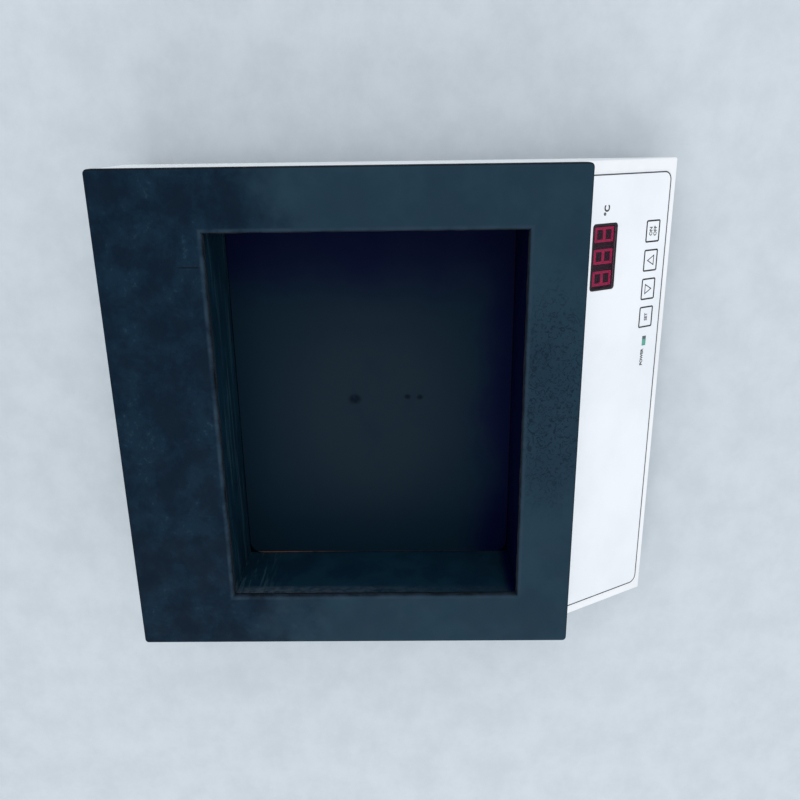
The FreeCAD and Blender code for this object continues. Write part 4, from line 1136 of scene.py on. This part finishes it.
@dataclass
class RockerMarks:
    """The moulded-in I and O on the two halves of the rocker, filled with white ink."""

    rocker: bpy.types.Object
    deep: float = 0.08
    high: float = 4.2
    bar_wide: float = 0.7
    ring_wide: float = 3.6
    ring_corner: float = 1.7
    ring_line: float = 0.6

    def half(self, sign: int) -> Matrix:
        """Gives the frame of the rocker's upper or lower half: its middle, with local Z out of the face.

        Args:
            sign: 1 for the upper half and -1 for the lower.

        Returns:
            The matrix, in metres.
        """
        faces = self.rocker.data.polygons
        middle_z = sum(face.center.z * face.area for face in faces) / sum(face.area for face in faces)
        outer = [face for face in faces if face.normal.y > 0.7 and (face.center.z - middle_z) * sign > 0]
        face = max(outer, key=lambda one: one.area)
        side = Vector((-1, 0, 0))
        turn = Matrix((side, face.normal.cross(side), face.normal)).transposed().to_4x4()
        return Matrix.Translation(face.center) @ turn

    def build(self, ink: Material) -> None:
        """Makes both marks, which move with the rocker.

        Args:
            ink: Their ink.
        """
        bar = Piece.plate("mark_on", self.bar_wide, self.high).raise_by(self.deep)
        bar.settle(self.half(1), ink, body="rocker")
        ring = Piece.plate("mark_off", self.ring_wide, self.high).round_corners(self.ring_corner, 8)
        ring.hollow(self.ring_line).raise_by(self.deep).settle(self.half(-1), ink, body="rocker")


@dataclass(frozen=True)
class SoftLamp:
    """A square area lamp that looks at the bath: its place and side in metres and its power in watts."""

    name: str
    place: Triple
    side: float
    power: float

    def hang(self) -> None:
        """Adds the lamp, unseen by the camera."""
        data = bpy.data.lights.new(self.name, "AREA")
        data.size = self.side
        data.energy = self.power
        lamp = bpy.data.objects.new(self.name, data)
        lamp.location = self.place
        lamp.rotation_euler = (-Vector(self.place)).to_track_quat("-Z", "Y").to_euler()
        lamp.visible_camera = False
        bpy.context.scene.collection.objects.link(lamp)


@dataclass
class Studio:
    """The camera of the photograph, the pale floor and the soft light."""

    camera_place: Triple = (0.168631, -0.01002, 0.540554)
    camera_turn: Triple = (-18.7238, 0.6057, -90.7836)
    lens_mm: float = 36.087
    paper: str = "#cdd5db"
    paper_shade: str = "#b8c2c9"
    paper_drop: float = 0.0002
    mottle_mm: float = 30.0
    daylight: str = "#f4f7fb"
    daylight_strength: float = 0.72
    lamps: tuple[SoftLamp, ...] = (SoftLamp("right_lamp", (1.5, -0.1, 1.5), 1.6, 14.2),
                                   SoftLamp("left_lamp", (-1.5, 0.0, 1.4), 1.6, 13.0),
                                   SoftLamp("front_lamp", (-0.1, -1.7, 1.2), 1.2, 3.0))

    def camera(self) -> None:
        """Adds the camera, solved from the straight edges in the photograph."""
        data = bpy.data.cameras.new("camera")
        data.sensor_width = 36.0
        data.lens = self.lens_mm
        data.clip_start = 0.01
        camera = bpy.data.objects.new("camera", data)
        camera.location = self.camera_place
        camera.rotation_euler = [math.radians(turn) for turn in self.camera_turn]
        bpy.context.scene.collection.objects.link(camera)
        bpy.context.scene.camera = camera

    def floor(self) -> None:
        """Lays the pale backdrop sheet that the object stands on."""
        deselect_all()
        bpy.ops.mesh.primitive_plane_add(size=6, location=(0, 0, -self.paper_drop))
        sheet = bpy.context.active_object
        sheet.name = "floor"
        made = Shading("floor_paper")
        mottle = made.spread(made.noise(self.mottle_mm, 7.0, 0.68), 0.3, 0.7)
        colour = made.blend(made.times(mottle, 0.45), self.paper, self.paper_shade)
        made.set(Base_Color=colour, Roughness=0.9, Specular_IOR_Level=0.1)
        sheet.data.materials.append(made.finish())

    def light(self) -> None:
        """Lights the scene with an even sky and large soft lamps from the right, the left and the front."""
        world = bpy.data.worlds.new("sky")
        bpy.context.scene.world = world
        world.use_nodes = True
        sky = world.node_tree.nodes["Background"]
        fill(sky.inputs["Color"], self.daylight)
        fill(sky.inputs["Strength"], self.daylight_strength)
        for lamp in self.lamps:
            lamp.hang()


# Each finish by its short name, with the CAD nodes that it dresses.
FINISHES = {
    # Baked polymer coating on aluminium: blue-black and matt.
    "frame": (BakedFrameCoat(), ["top_frame", "frame_ring"]),
    "tank": (BakedTankCoat(), ["bath_tank"]),
    "floor": (BakedFloorCoat(), ["floor_plate"]),
    # Polyester powder coat: even white or grey, faintly soiled.
    "shell": (PowderCoat("white_powder_coat", "#f0f3f6", "#e4e7ea"), ["housing"]),
    "tray": (PowderCoat("grey_powder_coat", "#b4b8bb", "#a3a8ab"), ["base_tray"]),
    # Polyester foil and screen-printed inks: satin, with no relief that the eye can see.
    "foil": (PrintedFoil(), ["panel_foil"]),
    "ink": (Ink("black_ink", "#15181c", "#2a2d33"), []),
    "grey ink": (Ink("grey_ink", "#33363b", "#4a4d52"), []),
    "white ink": (Ink("white_ink", "#e6e7e6", "#cfd1d1"), []),
    "mask": (Ink("mask_ink", "#121018", "#1a1620"), []),
    # Tinted and cast resins of the display and the lamp: smooth, with a dull light of their own.
    "acrylic": (FilterAcrylic(), ["display_window"]),
    "bars": (LitFigures(), ["digit_bars"]),
    "lamp": (PilotLamp(), ["power_lamp"]),
    # Moulded plastics, rubbers and glass: one even sheen, broken by the mould's grain.
    "digit": (Moulded("digit_body", "#1a0a14", "#22101c", 0.5),
              ["digit_left", "digit_middle", "digit_right"]),
    "black": (Moulded("black_polyamide", "#17181a", "#202224", 0.42),
              ["controller_chip", "heater_triac", "smoothing_capacitor", "overheat_cutout", "mains_inlet",
               "fuse_drawer", "switch_frame", "power_rocker"]),
    "rubber": (Moulded("moulded_rubber", "#1a1a1b", "#262626", 0.7, 0.8, 0.05, 0.3), ["feet"]),
    "sealant": (Moulded("black_sealant", "#04050a", "#0a0d14", 0.55, 1.2, 0.06, 0.3), ["tank_gasket"]),
    "relay": (Moulded("blue_relay_case", "#123a8a", "#173f92", 0.3), ["relay"]),
    "green": (Moulded("green_terminal", "#2b7d3c", "#2f8742", 0.4), ["terminal_block"]),
    "nylon": (Moulded("natural_nylon", "#e2ddcf", "#d6d0c0", 0.45), ["board_pillars", "power_pillars"]),
    "tape": (Moulded("coil_tape", "#c9a227", "#b8921e", 0.3), ["transformer_coil"]),
    "glass": (Moulded("fuse_glass", "#c9cdc9", "#b7bbb6", 0.12, 2.0, 0.0), ["fuses"]),
    # Silicone heater foil and needled felt: dull, with threads that show.
    "heater": (Woven("heater_silicone", "#b4532f", "#8c3d22", 0.8), ["heater_mat"]),
    "felt": (Woven("needled_felt", "#d5d0c4", "#b7b1a3", 1.1), ["insulation_pad"]),
    # Plated, drawn and stamped metals: bright, with hairlines and dull patches.
    "zinc": (Metal("zinc_plate", "#c3c7cb", "#a9adb0"),
             ["foot_screws", "base_spacers", "flange_nuts", "frame_screws", "earth_stud", "earth_nut",
              "temperature_sensor"]),
    "nickel": (Metal("nickel_plate", "#cfc8ba", "#b9b1a2", 0.22), ["inlet_pins", "switch_tabs"]),
    "aluminium": (Metal("extruded_aluminium", "#c9ccce", "#b3b7b9", 0.35), ["heat_sink", "sensor_block"]),
    "core": (Metal("varnished_laminations", "#6d6a66", "#524f4c", 0.5, (0.05, 1.0, 1.0)),
             ["transformer_core"]),
    "dome": (Metal("spring_steel", "#cfd0cf", "#b7b8b7", 0.18), ["key_domes"]),
    # Solder resist on glass fibre: green and glossy.
    "laminate": (Laminate(), ["control_board", "power_board"]),
}


def dress_nodes(nodes: dict[str, bpy.types.Object]) -> dict[str, Material]:
    """Builds every finish and gives each CAD node its own.

    Args:
        nodes: The CAD nodes by name.

    Returns:
        The materials by their short names.
    """
    made = {}
    bare = set(nodes)
    for finish, (recipe, names) in FINISHES.items():
        made[finish] = recipe.build()
        for name in names:
            nodes[name].data.materials.clear()
            nodes[name].data.materials.append(made[finish])
            bare.remove(name)
    if bare:
        raise ValueError(f"nodes without a finish: {sorted(bare)}")
    LOG.info("dressed %d nodes", len(nodes))
    return made


def main() -> None:
    """Builds the dressed water bath."""
    logging.basicConfig(level=logging.INFO, format="%(name)s %(message)s")
    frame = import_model()
    bpy.context.scene.view_settings.view_transform = "Standard"
    studio = Studio()
    studio.camera()
    studio.floor()
    studio.light()
    finishes = dress_nodes(frame["nodes"])
    panel = ControlPanel()
    panel.print_marks(finishes["ink"], finishes["grey ink"])
    panel.light_digits(finishes["bars"])
    panel.glaze(finishes["acrylic"], finishes["mask"])
    TankSeam().build(finishes["sealant"])
    RockerMarks(frame["nodes"]["power_rocker"]).build(finishes["white ink"])


if __name__ == "__main__":
    main()
